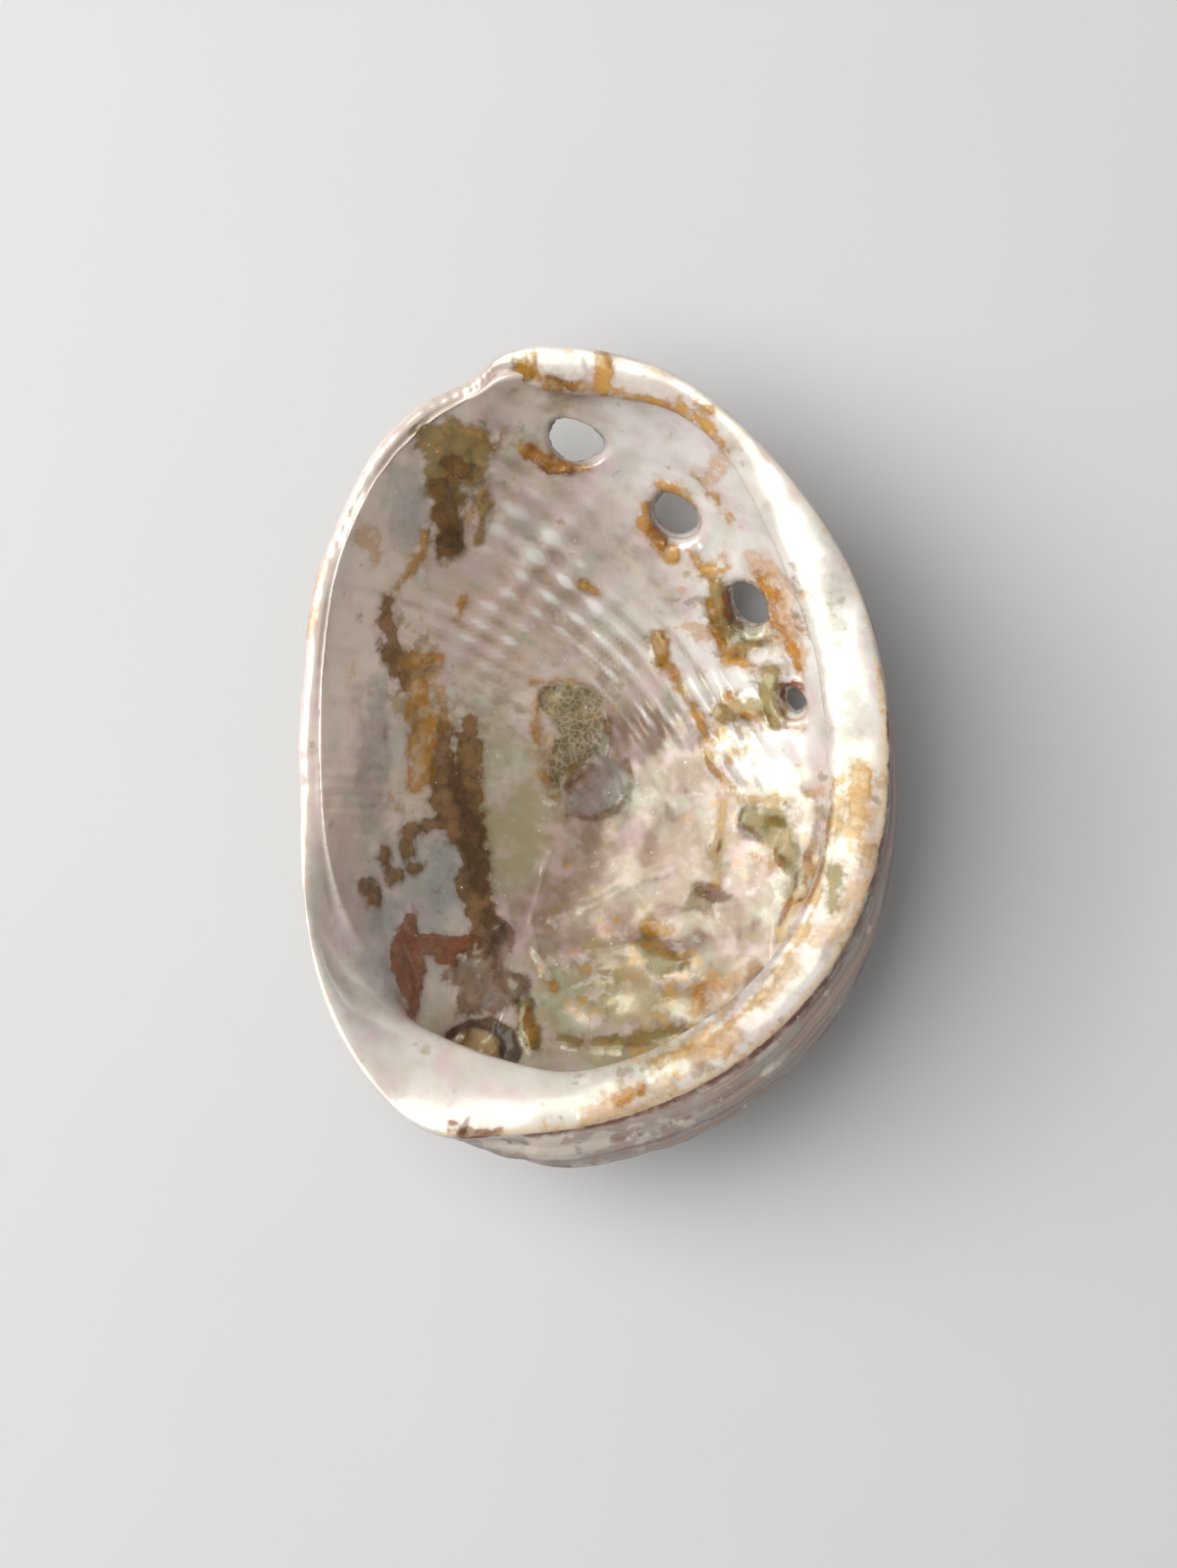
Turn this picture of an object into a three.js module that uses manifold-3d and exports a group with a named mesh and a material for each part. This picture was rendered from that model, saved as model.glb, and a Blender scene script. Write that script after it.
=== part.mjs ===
// An abalone shell lying on its back, hollow side up, as one closed solid.
// Millimetres, +Z up, +Y towards the end the animal's head came out of.
import * as THREE from 'three';
import { mergeVertices } from 'three/addons/utils/BufferGeometryUtils.js';
import Module from 'manifold-3d';

// ---- Driving dimensions, mm and degrees ----

// The rim, station by station clockwise from the notch at the front left:
// x, y, z of the rim; lean of the outer wall at the rim (90 is upright, more leans in);
// reach of the wall's curve below the rim; how far the wall swells out under the rim;
// width of the flat inner shelf; how far the shelf drops to its inner edge;
// and how far up the inner face the rim's underside meets it (1 is the rim itself).
const RIM = [
  [-15.0, 46.0, 22.6, 50, 12, 0.0, 0.4, 0.2, 0.99],
  [-12.6, 48.7, 24.0, 60, 12, 0.0, 2.2, 0.4, 0.97],
  [-8.5, 49.9, 25.0, 66, 12, 0.0, 4.8, 0.8, 0.94],
  [-3.9, 50.0, 25.8, 70, 13, 0.0, 6.0, 1.0, 0.93],
  [3.8, 48.6, 26.6, 74, 14, 0.0, 5.2, 1.0, 0.93],
  [10.9, 45.8, 27.3, 78, 15, 0.0, 4.2, 1.0, 0.93],
  [18.1, 39.9, 27.9, 82, 16, 0.0, 4.8, 1.0, 0.93],
  [25.2, 31.9, 28.4, 86, 17, 0.3, 7.0, 1.0, 0.93],
  [31.2, 22.4, 28.8, 90, 18, 0.6, 8.0, 1.0, 0.93],
  [34.5, 12.1, 29.0, 92, 18, 1.0, 8.0, 1.0, 0.93],
  [35.8, 1.2, 29.0, 95, 18, 1.4, 7.7, 1.0, 0.93],
  [35.3, -8.3, 29.0, 98, 18, 2.0, 7.4, 1.0, 0.93],
  [33.4, -16.5, 29.0, 101, 18, 2.8, 7.0, 1.0, 0.93],
  [29.6, -24.8, 29.0, 104, 18, 3.8, 7.0, 1.0, 0.93],
  [23.6, -32.3, 29.0, 107, 18, 4.8, 7.1, 1.0, 0.93],
  [15.7, -38.7, 29.0, 110, 18, 5.2, 7.2, 1.0, 0.93],
  [5.0, -43.7, 28.8, 111, 18, 5.2, 7.0, 1.0, 0.93],
  [-4.5, -45.8, 28.5, 109, 18, 5.0, 7.5, 1.2, 0.93],
  [-11.7, -46.3, 28.2, 104, 17, 3.6, 9.3, 1.8, 0.92],
  [-17.0, -46.6, 27.8, 97, 16, 2.0, 11.0, 3.0, 0.88],
  [-22.6, -44.9, 27.2, 88, 15, 0.8, 11.2, 3.8, 0.76],
  [-28.0, -39.7, 26.4, 78, 14, 0.2, 8.6, 4.4, 0.70],
  [-32.2, -32.8, 25.6, 68, 14, 0.0, 5.0, 3.6, 0.74],
  [-35.0, -24.5, 25.0, 61, 14, 0.0, 2.2, 2.0, 0.84],
  [-36.2, -13.0, 24.6, 56, 14, 0.0, 0.6, 1.1, 0.94],
  [-36.3, -1.0, 24.3, 52, 14, 0.0, 0.0, 0.8, 0.97],
  [-35.7, 10.7, 24.0, 50, 14, 0.0, 0.0, 0.8, 0.98],
  [-34.2, 21.8, 23.8, 49, 14, 0.0, 0.0, 0.8, 0.98],
  [-31.1, 30.4, 23.5, 48, 13, 0.0, 0.0, 0.6, 0.98],
  [-26.5, 38.2, 23.2, 48, 13, 0.0, 0.0, 0.4, 0.98],
  [-20.8, 43.6, 22.9, 48, 12, 0.0, 0.0, 0.2, 0.98],
];
const POLE = new THREE.Vector2(1.3, -5); // deepest point of the back, in plan
const POLE_RADIUS = 62; // radius of the back's curve at the pole
const WORN_DEPTH = 0.35; // worn off the back at the pole, which leaves a flat to rest on
const FLOOR_THICKNESS = 2.6;
const LIP_THICKNESS = 2.3;
const SHELF_THICKNESS = 2.6;
const THICKENS = { from: 0.3, over: 0.7 }; // where the floor's thickness turns to the edge's
const WIDE_SHELF = 5; // a shelf this wide has its full thickness

// The rounded edge where there is no shelf: share of the way over, and height.
const PLAIN_LIP = [[0.12, 0.75], [0.32, 1.0], [0.5, 1.05], [0.68, 0.85], [0.84, 0.5], [0.95, 0.2]];
const SHELF_FORMS_AT = 4; // shelf width from which the flat section holds in full
const LIP_TANGENT = 0.5; // length along which the lip leaves each face straight
const NEAR_RIM = 0.01; // step of v that gives a face's direction at its edge

// The row of breathing holes runs along a spiral: each hole is one turn-step further
// round, and the old ones, nearer the spire, are filled in and stand as low knobs.
const ROW = { x: -10.6, y: -21, radius: 61, growth: 0.377, start: 82.8, step: 14.55, stretch: 1.0246 };
const ROW_KNOBS = 11;
const RIDGE_PER_STEP = 2; // bumps for each hole step, close enough to run together
const RIDGE_BUMP = 0.806; // height of one bump; neighbours add up to a ridge of 1.3 mm
const RIDGE_HALF_WIDTH = 5.2;
const RIDGE_FADE_FROM = 3; // holes before the ridge starts to die away
const RIDGE_FADE = 0.6; // share it has lost at the spire
const INNER_RELIEF = 0.55; // the inside follows the ridge, more softly
const RELIEF_ENDS = { from: 0.86, over: 0.1 }; // where relief fades out towards the rim
// Half length along the row, half width across it, and how much it narrows outwards.
const HOLES = [
  { along: 3.9, across: 3.0, taper: 0.97 },
  { along: 3.5, across: 2.9, taper: 0.93 },
  { along: 3.5, across: 2.5, taper: 0.9 },
  { along: 2.5, across: 2.1, taper: 0.6 },
];
const HOLE_UPRIGHT = 0.5; // 0 bores square through the wall, 1 straight down
const HOLE_RUN_IN = 1.6; // how far a bore's cutter reaches past the inner face
const HOLE_RUN_OUT = 3.4; // and past the outer one
const HOLE_SIDES = 20;

// The spire: a low mound on the outside, with a pit behind it on the inside.
const SPIRE = { x: -17.2, y: -37.2, height: 4.2, radius: 9.5 };
const PIT = { x: -15.2, y: -36.9, depth: 3.2, radius: 4.4 };

const COLUMNS = 90; // round the rim
const OUTER_ROWS = 20; // pole to rim, outside
const LIP_ROWS = 9; // over the rim and shelf
const INNER_ROWS = 17; // shelf to pole, inside
const MERGE_WITHIN = 1e-4;

// ---- The rim and the wall's section under it ----

const smooth = (x) => THREE.MathUtils.smoothstep(x, 0, 1);
const mix = THREE.MathUtils.lerp;
const rimCount = RIM.length;
const station = (i) => RIM[((i % rimCount) + rimCount) % rimCount];

// Each station's control value, moved so that the smoothed curve passes near the station.
const RIM_CONTROLS = RIM.map((row, i) =>
  row.map((value, k) => value - (station(i - 1)[k] - 2 * value + station(i + 1)[k]) / 6));

function bsplineWeights(t) {
  return [
    (1 - t) ** 3 / 6,
    (3 * t ** 3 - 6 * t ** 2 + 4) / 6,
    (-3 * t ** 3 + 3 * t ** 2 + 3 * t + 1) / 6,
    t ** 3 / 6,
  ];
}

// The rim at u, 0 to 1 once round, on a closed uniform cubic B-spline.
function rimAt(u) {
  const place = (u - Math.floor(u)) * rimCount;
  const first = Math.floor(place);
  const weights = bsplineWeights(place - first);
  const value = (k) => weights.reduce(
    (sum, w, i) => sum + w * RIM_CONTROLS[(first + i - 1 + rimCount) % rimCount][k], 0);
  const rim = new THREE.Vector2(value(0), value(1)).sub(POLE);
  const radius = rim.length();
  return {
    way: rim.divideScalar(radius),
    radius,
    z: value(2),
    lean: THREE.MathUtils.degToRad(value(3)),
    reach: value(4),
    swell: value(5),
    shelf: Math.max(value(6), 0),
    drop: value(7),
    seat: value(8),
  };
}

// The outer face in its radial plane: a cubic from the pole out and up to the rim.
// Returns distance from the pole's axis, height, and the direction of travel.
function outerSection(rim, v) {
  const x2 = rim.radius - rim.reach * Math.cos(rim.lean);
  const z2 = rim.z - rim.reach * Math.sin(rim.lean);
  const x1 = Math.sqrt((2 * z2 * POLE_RADIUS) / 3);
  const w = 1 - v;
  const swell = (rim.swell * 256) / 27; // v^3 (1 - v) is at most 27/256
  const r = 3 * w * w * v * x1 + 3 * w * v * v * x2 + v ** 3 * rim.radius + swell * v ** 3 * w;
  const z = 3 * w * v * v * z2 + v ** 3 * rim.z;
  const dr = 3 * w * w * x1 + 6 * w * v * (x2 - x1) + 3 * v * v * (rim.radius - x2)
    + swell * (3 * v ** 2 - 4 * v ** 3);
  const dz = 6 * w * v * z2 + 3 * v * v * (rim.z - z2);
  return { r, z, run: new THREE.Vector2(dr, dz).normalize() };
}

function wallThickness(rim, v) {
  const edge = mix(LIP_THICKNESS, SHELF_THICKNESS, smooth(rim.shelf / WIDE_SHELF));
  return mix(FLOOR_THICKNESS, edge, smooth((v - THICKENS.from) / THICKENS.over));
}

// A point of the section as (distance from the pole's axis, height).
function sectionPoint(rim, v, inner) {
  const { r, z, run } = outerSection(rim, v);
  const thickness = inner ? wallThickness(rim, v) : 0;
  return new THREE.Vector2(r - run.y * thickness, z + run.x * thickness);
}

const lift = (rim, p) => new THREE.Vector3(
  POLE.x + rim.way.x * p.x, POLE.y + rim.way.y * p.x, p.y - WORN_DEPTH);
const plainFace = (u, v, inner) => {
  const rim = rimAt(u);
  return lift(rim, sectionPoint(rim, v, inner));
};

// ---- Relief: the hole row's ridge, the spire and the pit behind it ----

const SEARCH = { grid: 5, narrow: 0.6, until: 1e-5, lowest: 0.02, highest: 0.93 };

// The (u, v) whose point on the face lies over (x, y): the best of a grid, again and
// again round the last best on a narrower grid.
function locate(x, y, inner) {
  let best = { u: 0.5, v: 0.5, miss: Infinity };
  for (let span = 0.5; span > SEARCH.until; span *= SEARCH.narrow) {
    const from = best;
    const step = span / SEARCH.grid;
    for (let i = -SEARCH.grid; i <= SEARCH.grid; i++) {
      for (let j = -SEARCH.grid; j <= SEARCH.grid; j++) {
        const u = from.u + step * i;
        const v = THREE.MathUtils.clamp(from.v + step * j, SEARCH.lowest, SEARCH.highest);
        const p = plainFace(u, v, inner);
        const miss = Math.hypot(p.x - x, p.y - y);
        if (miss < best.miss) best = { u, v, miss };
      }
    }
  }
  return best;
}

// The row's plan position and direction after a number of steps, whole or part.
function rowPoint(steps) {
  const turned = (ROW.stretch ** steps - 1) / (ROW.stretch - 1) * ROW.step;
  const angle = THREE.MathUtils.degToRad(ROW.start - turned);
  const radius = ROW.radius * Math.exp(-ROW.growth * THREE.MathUtils.degToRad(turned));
  return { x: ROW.x + radius * Math.cos(angle), y: ROW.y + radius * Math.sin(angle) };
}

function bump(spec, inner, height, radius) {
  const { u, v } = locate(spec.x, spec.y, inner);
  return { at: plainFace(u, v, inner), height, radius };
}

function makeBumps(inner) {
  const bumps = [];
  const share = inner ? INNER_RELIEF : 1;
  for (let i = -1; i <= RIDGE_PER_STEP * ROW_KNOBS; i++) {
    const steps = i / RIDGE_PER_STEP;
    const fade = 1 - RIDGE_FADE * smooth((steps - RIDGE_FADE_FROM) / ROW_KNOBS);
    bumps.push(bump(rowPoint(steps), inner, share * fade * RIDGE_BUMP, fade * RIDGE_HALF_WIDTH));
  }
  if (inner) bumps.push(bump(PIT, inner, PIT.depth, PIT.radius));
  else bumps.push(bump(SPIRE, inner, SPIRE.height, SPIRE.radius));
  return bumps;
}
const BUMPS = { inner: makeBumps(true), outer: makeBumps(false) };

// How far a point stands out, away from the hollow: a sum of rounded bumps.
function relief(p, inner) {
  const bumps = inner ? BUMPS.inner : BUMPS.outer;
  return bumps.reduce((sum, b) => sum + b.height * Math.exp(-p.distanceToSquared(b.at) / b.radius ** 2), 0);
}

function outwardNormal(u, v) {
  const step = 1e-3;
  const along = plainFace(u + step, v, false).sub(plainFace(u - step, v, false));
  const up = plainFace(u, v + step, false).sub(plainFace(u, v - step, false));
  return up.cross(along).normalize();
}

function face(u, v, inner) {
  const p = plainFace(u, v, inner);
  const fade = 1 - smooth((v - RELIEF_ENDS.from) / RELIEF_ENDS.over);
  return p.addScaledVector(outwardNormal(u, v), relief(p, inner) * fade);
}

// ---- The lip and shelf, from the outer face's edge over to the inner face ----

// Where the lip is narrow it is a plain rounded edge; where the shelf is wide its
// section runs flat inwards, turns under at the shelf's edge and back to the wall.
function lipSection(rim) {
  const end = sectionPoint(rim, 1, false);
  const rise = end.clone().sub(sectionPoint(rim, 1 - NEAR_RIM, false)).normalize();
  const seat = sectionPoint(rim, rim.seat, true);
  const sink = seat.clone().sub(sectionPoint(rim, rim.seat - NEAR_RIM, true)).normalize();
  const plainLip = PLAIN_LIP.map(
    ([share, height]) => end.clone().lerp(seat, share).addScaledVector(rise, height));
  const at = (dx, dz) => new THREE.Vector2(rim.radius + dx, rim.z + dz);
  const tip = -rim.shelf;
  const edge = at(tip - 0.1, -rim.drop - 0.75);
  const hollow = smooth((rim.seat - 0.84) / 0.08);
  const slope = (share) => edge.clone().lerp(seat, share);
  const shelf = [
    at(-0.9, 0.55),
    at(0.5 * tip, 0.45 - 0.25 * rim.drop),
    at(tip + 0.9, 0.05 - 0.75 * rim.drop),
    edge,
    slope(0.3).lerp(at(tip + 1, -rim.drop - 1.6), hollow),
    slope(0.65).lerp(at(0.5 * tip + 0.2, -rim.drop - 2.3), hollow),
  ];
  const isShelf = smooth(rim.shelf / SHELF_FORMS_AT);
  const beside = (p, way, length) => p.clone().addScaledVector(way, length);
  return [
    beside(end, rise, -LIP_TANGENT), end, beside(end, rise, LIP_TANGENT),
    ...plainLip.map((p, i) => p.lerp(shelf[i], isShelf)),
    beside(seat, sink, LIP_TANGENT), seat, beside(seat, sink, -LIP_TANGENT),
  ];
}

function lipPoint(u, share) {
  const rim = rimAt(u);
  const controls = lipSection(rim);
  const place = share * (controls.length - 3);
  const first = Math.min(Math.floor(place), controls.length - 4);
  const weights = bsplineWeights(place - first);
  const p = new THREE.Vector2();
  weights.forEach((w, i) => p.addScaledVector(controls[first + i], w));
  return lift(rim, p);
}

// ---- One closed skin: outer face, lip, inner face, and a point at each pole ----

function columnPoints(u) {
  const points = [];
  for (let j = 1; j <= OUTER_ROWS; j++) points.push(face(u, j / OUTER_ROWS, false));
  for (let j = 1; j <= LIP_ROWS; j++) points.push(lipPoint(u, j / (LIP_ROWS + 1)));
  const seat = rimAt(u).seat;
  for (let j = INNER_ROWS; j >= 1; j--) points.push(face(u, (seat * j) / INNER_ROWS, true));
  return points;
}

function skinGeometry() {
  const rows = OUTER_ROWS + LIP_ROWS + INNER_ROWS;
  const points = [];
  for (let i = 0; i < COLUMNS; i++) points.push(...columnPoints(i / COLUMNS));
  const outerPole = points.push(plainFace(0, 0, false)) - 1;
  const innerPole = points.push(plainFace(0, 0, true)) - 1;
  const index = [];
  for (let i = 0; i < COLUMNS; i++) {
    const here = i * rows;
    const next = ((i + 1) % COLUMNS) * rows;
    index.push(outerPole, here, next);
    for (let j = 0; j < rows - 1; j++) {
      index.push(here + j, here + j + 1, next + j + 1);
      index.push(here + j, next + j + 1, next + j);
    }
    index.push(innerPole, next + rows - 1, here + rows - 1);
  }
  const geometry = new THREE.BufferGeometry().setFromPoints(points);
  geometry.setIndex(index);
  return geometry;
}

// ---- Cutters: the open holes, and the flat worn on the back ----

// A tapered oval plug, narrow end outwards, square to the lean of the bore.
function holeCutter(hole, i) {
  const centre = rowPoint(i);
  const { u, v } = locate(centre.x, centre.y, true);
  const inside = face(u, v, true);
  const down = new THREE.Vector3(0, 0, -1);
  const axis = outwardNormal(u, v).lerp(down, HOLE_UPRIGHT).normalize();
  const next = rowPoint(i + 0.2);
  const row = new THREE.Vector3(next.x - centre.x, next.y - centre.y, 0);
  const across = new THREE.Vector3().crossVectors(axis, row).normalize();
  const along = new THREE.Vector3().crossVectors(across, axis);
  const length = HOLE_RUN_IN + FLOOR_THICKNESS + HOLE_RUN_OUT;
  const plug = new THREE.CylinderGeometry(hole.taper, 1, length, HOLE_SIDES);
  plug.translate(0, length / 2 - HOLE_RUN_IN, 0);
  const frame = new THREE.Matrix4().makeBasis(
    across.multiplyScalar(hole.across), axis, along.multiplyScalar(hole.along));
  return plug.applyMatrix4(frame.setPosition(inside));
}

// Everything below the surface that the shell rests on.
function wornCutter() {
  const width = 120;
  const depth = 10;
  return new THREE.BoxGeometry(width, width, depth).translate(0, 0, -depth / 2);
}

const wasm = await Module();
wasm.setup();

function toSolid(geometry) {
  const plain = geometry.clone();
  plain.deleteAttribute('normal');
  plain.deleteAttribute('uv');
  const merged = mergeVertices(plain, MERGE_WITHIN);
  return new wasm.Manifold(new wasm.Mesh({
    numProp: 3,
    vertProperties: new Float32Array(merged.attributes.position.array),
    triVerts: new Uint32Array(merged.index.array),
  }));
}

function toGeometry(solid) {
  const mesh = solid.getMesh();
  const geometry = new THREE.BufferGeometry();
  geometry.setAttribute('position', new THREE.BufferAttribute(mesh.vertProperties, 3));
  geometry.setIndex(new THREE.BufferAttribute(mesh.triVerts, 1));
  return geometry;
}

let shellSolid = toSolid(skinGeometry());
for (const cutter of [...HOLES.map(holeCutter), wornCutter()]) {
  shellSolid = shellSolid.subtract(toSolid(cutter));
}

// The origin is under the middle of the shell, on the surface it rests on.
const shellGeometry = toGeometry(shellSolid);
shellGeometry.computeBoundingBox();
const middle = shellGeometry.boundingBox.getCenter(new THREE.Vector3());
shellGeometry.translate(-middle.x, -middle.y, 0);
shellGeometry.computeVertexNormals();

const nacre = new THREE.MeshStandardMaterial({ color: 0xd8cbbd, roughness: 0.3, metalness: 0.1 });
const shell = new THREE.Mesh(shellGeometry, nacre);
shell.name = 'shell';

const abalone = new THREE.Group();
abalone.add(shell);
export default abalone;
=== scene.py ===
"""An abalone shell lying on its back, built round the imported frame, with its stage."""
import math

import bpy
import numpy as np
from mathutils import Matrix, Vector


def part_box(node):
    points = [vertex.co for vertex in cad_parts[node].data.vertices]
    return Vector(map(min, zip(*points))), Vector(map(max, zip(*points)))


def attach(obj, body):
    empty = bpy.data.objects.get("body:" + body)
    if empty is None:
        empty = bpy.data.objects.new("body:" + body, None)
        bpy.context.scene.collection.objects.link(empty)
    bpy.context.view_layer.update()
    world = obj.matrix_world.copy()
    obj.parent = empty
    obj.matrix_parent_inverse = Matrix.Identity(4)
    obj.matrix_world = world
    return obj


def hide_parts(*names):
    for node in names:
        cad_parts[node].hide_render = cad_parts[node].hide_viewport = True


bl_info = {
    "name": "Abalone shell",
    "version": (1, 0, 0),
    "blender": (4, 5, 0),
    "location": "3D View > Sidebar > Shell",
    "description": "Grows a worn, stained abalone shell and sets a plain stage for it",
    "category": "Add Mesh",
}

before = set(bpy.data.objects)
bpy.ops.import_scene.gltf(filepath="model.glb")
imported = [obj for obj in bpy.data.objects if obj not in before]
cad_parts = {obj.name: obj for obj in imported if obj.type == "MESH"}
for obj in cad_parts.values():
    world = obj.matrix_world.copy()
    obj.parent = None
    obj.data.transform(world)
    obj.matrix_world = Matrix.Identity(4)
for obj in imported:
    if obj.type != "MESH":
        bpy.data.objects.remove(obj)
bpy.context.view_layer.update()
SHELL_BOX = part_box("shell")
MM = 0.001

# ---- Form, in millimetres and degrees ----

# The rim, station by station clockwise from the notch at the front left: x, y, z;
# lean of the outer wall at the rim; reach of the wall's curve below the rim; how far the
# wall swells out under it; width of the flat inner shelf; how far the shelf drops to its
# inner edge; and how far up the inner face the rim's underside meets it.
RIM = np.array([
    (-15.0, 46.0, 22.6, 50, 12, 0.0, 0.4, 0.2, 0.99),
    (-12.6, 48.7, 24.0, 60, 12, 0.0, 2.2, 0.4, 0.97),
    (-8.5, 49.9, 25.0, 66, 12, 0.0, 4.8, 0.8, 0.94),
    (-3.9, 50.0, 25.8, 70, 13, 0.0, 6.0, 1.0, 0.93),
    (3.8, 48.6, 26.6, 74, 14, 0.0, 5.2, 1.0, 0.93),
    (10.9, 45.8, 27.3, 78, 15, 0.0, 4.2, 1.0, 0.93),
    (18.1, 39.9, 27.9, 82, 16, 0.0, 4.8, 1.0, 0.93),
    (25.2, 31.9, 28.4, 86, 17, 0.3, 7.0, 1.0, 0.93),
    (31.2, 22.4, 28.8, 90, 18, 0.6, 8.0, 1.0, 0.93),
    (34.5, 12.1, 29.0, 92, 18, 1.0, 8.0, 1.0, 0.93),
    (35.8, 1.2, 29.0, 95, 18, 1.4, 7.7, 1.0, 0.93),
    (35.3, -8.3, 29.0, 98, 18, 2.0, 7.4, 1.0, 0.93),
    (33.4, -16.5, 29.0, 101, 18, 2.8, 7.0, 1.0, 0.93),
    (29.6, -24.8, 29.0, 104, 18, 3.8, 7.0, 1.0, 0.93),
    (23.6, -32.3, 29.0, 107, 18, 4.8, 7.1, 1.0, 0.93),
    (15.7, -38.7, 29.0, 110, 18, 5.2, 7.2, 1.0, 0.93),
    (5.0, -43.7, 28.8, 111, 18, 5.2, 7.0, 1.0, 0.93),
    (-4.5, -45.8, 28.5, 109, 18, 5.0, 7.5, 1.2, 0.93),
    (-11.7, -46.3, 28.2, 104, 17, 3.6, 9.3, 1.8, 0.92),
    (-17.0, -46.6, 27.8, 97, 16, 2.0, 11.0, 3.0, 0.88),
    (-22.6, -44.9, 27.2, 88, 15, 0.8, 11.2, 3.8, 0.76),
    (-28.0, -39.7, 26.4, 78, 14, 0.2, 8.6, 4.4, 0.70),
    (-32.2, -32.8, 25.6, 68, 14, 0.0, 5.0, 3.6, 0.74),
    (-35.0, -24.5, 25.0, 61, 14, 0.0, 2.2, 2.0, 0.84),
    (-36.2, -13.0, 24.6, 56, 14, 0.0, 0.6, 1.1, 0.94),
    (-36.3, -1.0, 24.3, 52, 14, 0.0, 0.0, 0.8, 0.97),
    (-35.7, 10.7, 24.0, 50, 14, 0.0, 0.0, 0.8, 0.98),
    (-34.2, 21.8, 23.8, 49, 14, 0.0, 0.0, 0.8, 0.98),
    (-31.1, 30.4, 23.5, 48, 13, 0.0, 0.0, 0.6, 0.98),
    (-26.5, 38.2, 23.2, 48, 13, 0.0, 0.0, 0.4, 0.98),
    (-20.8, 43.6, 22.9, 48, 12, 0.0, 0.0, 0.2, 0.98),
])
POLE = np.array([1.3, -5.0])  # deepest point of the back, in plan
POLE_RADIUS = 62.0  # radius of the back's curve there
WORN_DEPTH = 0.35  # worn off the back there
FLOOR_THICKNESS = 2.6
LIP_THICKNESS = 2.3
SHELF_THICKNESS = 2.6
LIP_HOLD = 0.5  # how far the lip's curve runs straight on from each face of the wall

# The holes lie on a spiral, each one a turn-step further round towards the spire.
ROW_CENTRE = np.array([-10.6, -21.0])
ROW_RADIUS = 61.0
ROW_GROWTH = 0.377
ROW_START = math.radians(82.8)
ROW_STEP = math.radians(14.55)
ROW_STRETCH = 1.0246
ROW_KNOBS = 11
RIDGE_HEIGHT = 0.8
RIDGE_HALF_WIDTH = 5.2
RIDGE_INSIDE = 0.55  # share of the ridge that shows as a furrow inside
# Open holes: half length along the row, half width across, share kept at the outside,
# and how wide the funnel on the inside is worn.
HOLES = np.array([
    (3.9, 3.0, 0.97, 0.9),
    (3.5, 2.9, 0.93, 1.3),
    (3.5, 2.5, 0.90, 1.5),
    (2.5, 2.1, 0.60, 0.9),
])
HOLE_UPRIGHT = 0.5  # 0 bores square through the wall, 1 straight down
OUTER_WEAR = 0.5  # how wide the bore's outer edge is worn round
RING_ROOM = 0.7  # clear of the worn edge, for the rings that join it to the grid
FACE_RINGS = 6  # from the worn edge to the grid, on each face
TURNING_RINGS = (9, 18)  # of a hole's rings, where the inside's looks fade to the back's
DEEPEST_BORE = 12.0

# The spire on the back and the pit inside it: plan position, height and radius.
SPIRE = np.array([-17.2, -37.2])
SPIRE_SWELL = (4.2, 9.5)
PIT = np.array([-15.2, -36.9])
PIT_SINK = (3.2, 4.4)

# The spiral that cords and growth lines follow turns about the spire's tip.
TIP = np.array([-17.6, -36.7])

# The seam between the spire's coils turns about the tip as seen spread out flat.
SUTURE_TIP = np.array([-22.3, -44.5])
SUTURE_START = 22.6  # distance of the seam's outer end
SUTURE_ANGLE = 4.765  # radians, where that end lies
SUTURE_GROWTH = 0.2206
RIM_LENGTH = 275.0  # once round the rim
BEAD_SPACING = 2.3  # along the narrow lip's crest
CAMERA_AT = (-0.95, -3.45)  # in plan, before the shell is seated in its box

CELLS = 188  # squares each way on the inner and on the outer face
LIP_ROWS = 20


def linear(hex_colour):
    """An sRGB hex colour as linear red, green, blue and alpha."""
    srgb = [int(hex_colour[i:i + 2], 16) / 255 for i in (1, 3, 5)]
    rgb = [c / 12.92 if c <= 0.04045 else ((c + 0.055) / 1.055) ** 2.4 for c in srgb]
    return (*rgb, 1.0)


# ---- Small helpers on arrays ----

def smooth(x):
    """0 below 0, 1 above 1, and an S curve between."""
    x = np.clip(x, 0, 1)
    return x * x * (3 - 2 * x)


def mix(a, b, share):
    """a at share 0, b at share 1, and in proportion between."""
    return a + (b - a) * share


def hump(distance, radius):
    """A bell: 1 at distance 0, falling off over the radius."""
    return np.exp(-(distance / radius) ** 2)


def ripple_noise(points, size, seed, waves=22):
    """Soft irregular hills about `size` mm across, from -1 to 1 or so: the scaled sum of
    plane cosine waves of nearly that length in seeded directions."""
    rng = np.random.default_rng(seed)
    directions = rng.normal(size=(points.shape[-1], waves))
    directions /= np.linalg.norm(directions, axis=0)
    numbers = directions * (2 * np.pi / (2 * size * rng.uniform(0.7, 1.5, waves)))
    phases = rng.uniform(0, 2 * np.pi, waves)
    return np.cos(points @ numbers + phases).sum(-1) / math.sqrt(waves / 2) * 0.7


def bspline_weights(t):
    """How much each of four control points counts at t, 0 to 1 along a span, times six."""
    return (
        (1 - t) ** 3,
        3 * t ** 3 - 6 * t ** 2 + 4,
        -3 * t ** 3 + 3 * t ** 2 + 3 * t + 1,
        t ** 3,
    )


def closed_bspline(controls, place):
    """A closed uniform cubic B-spline over rows of controls at `place`, counted in
    spans: each point is the weighted mean of four controls that follow each other."""
    first = np.floor(place).astype(int)
    weights = bspline_weights((place - first)[..., None])
    count = len(controls)
    return sum(w * controls[(first + i - 1) % count] for i, w in enumerate(weights)) / 6


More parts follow.
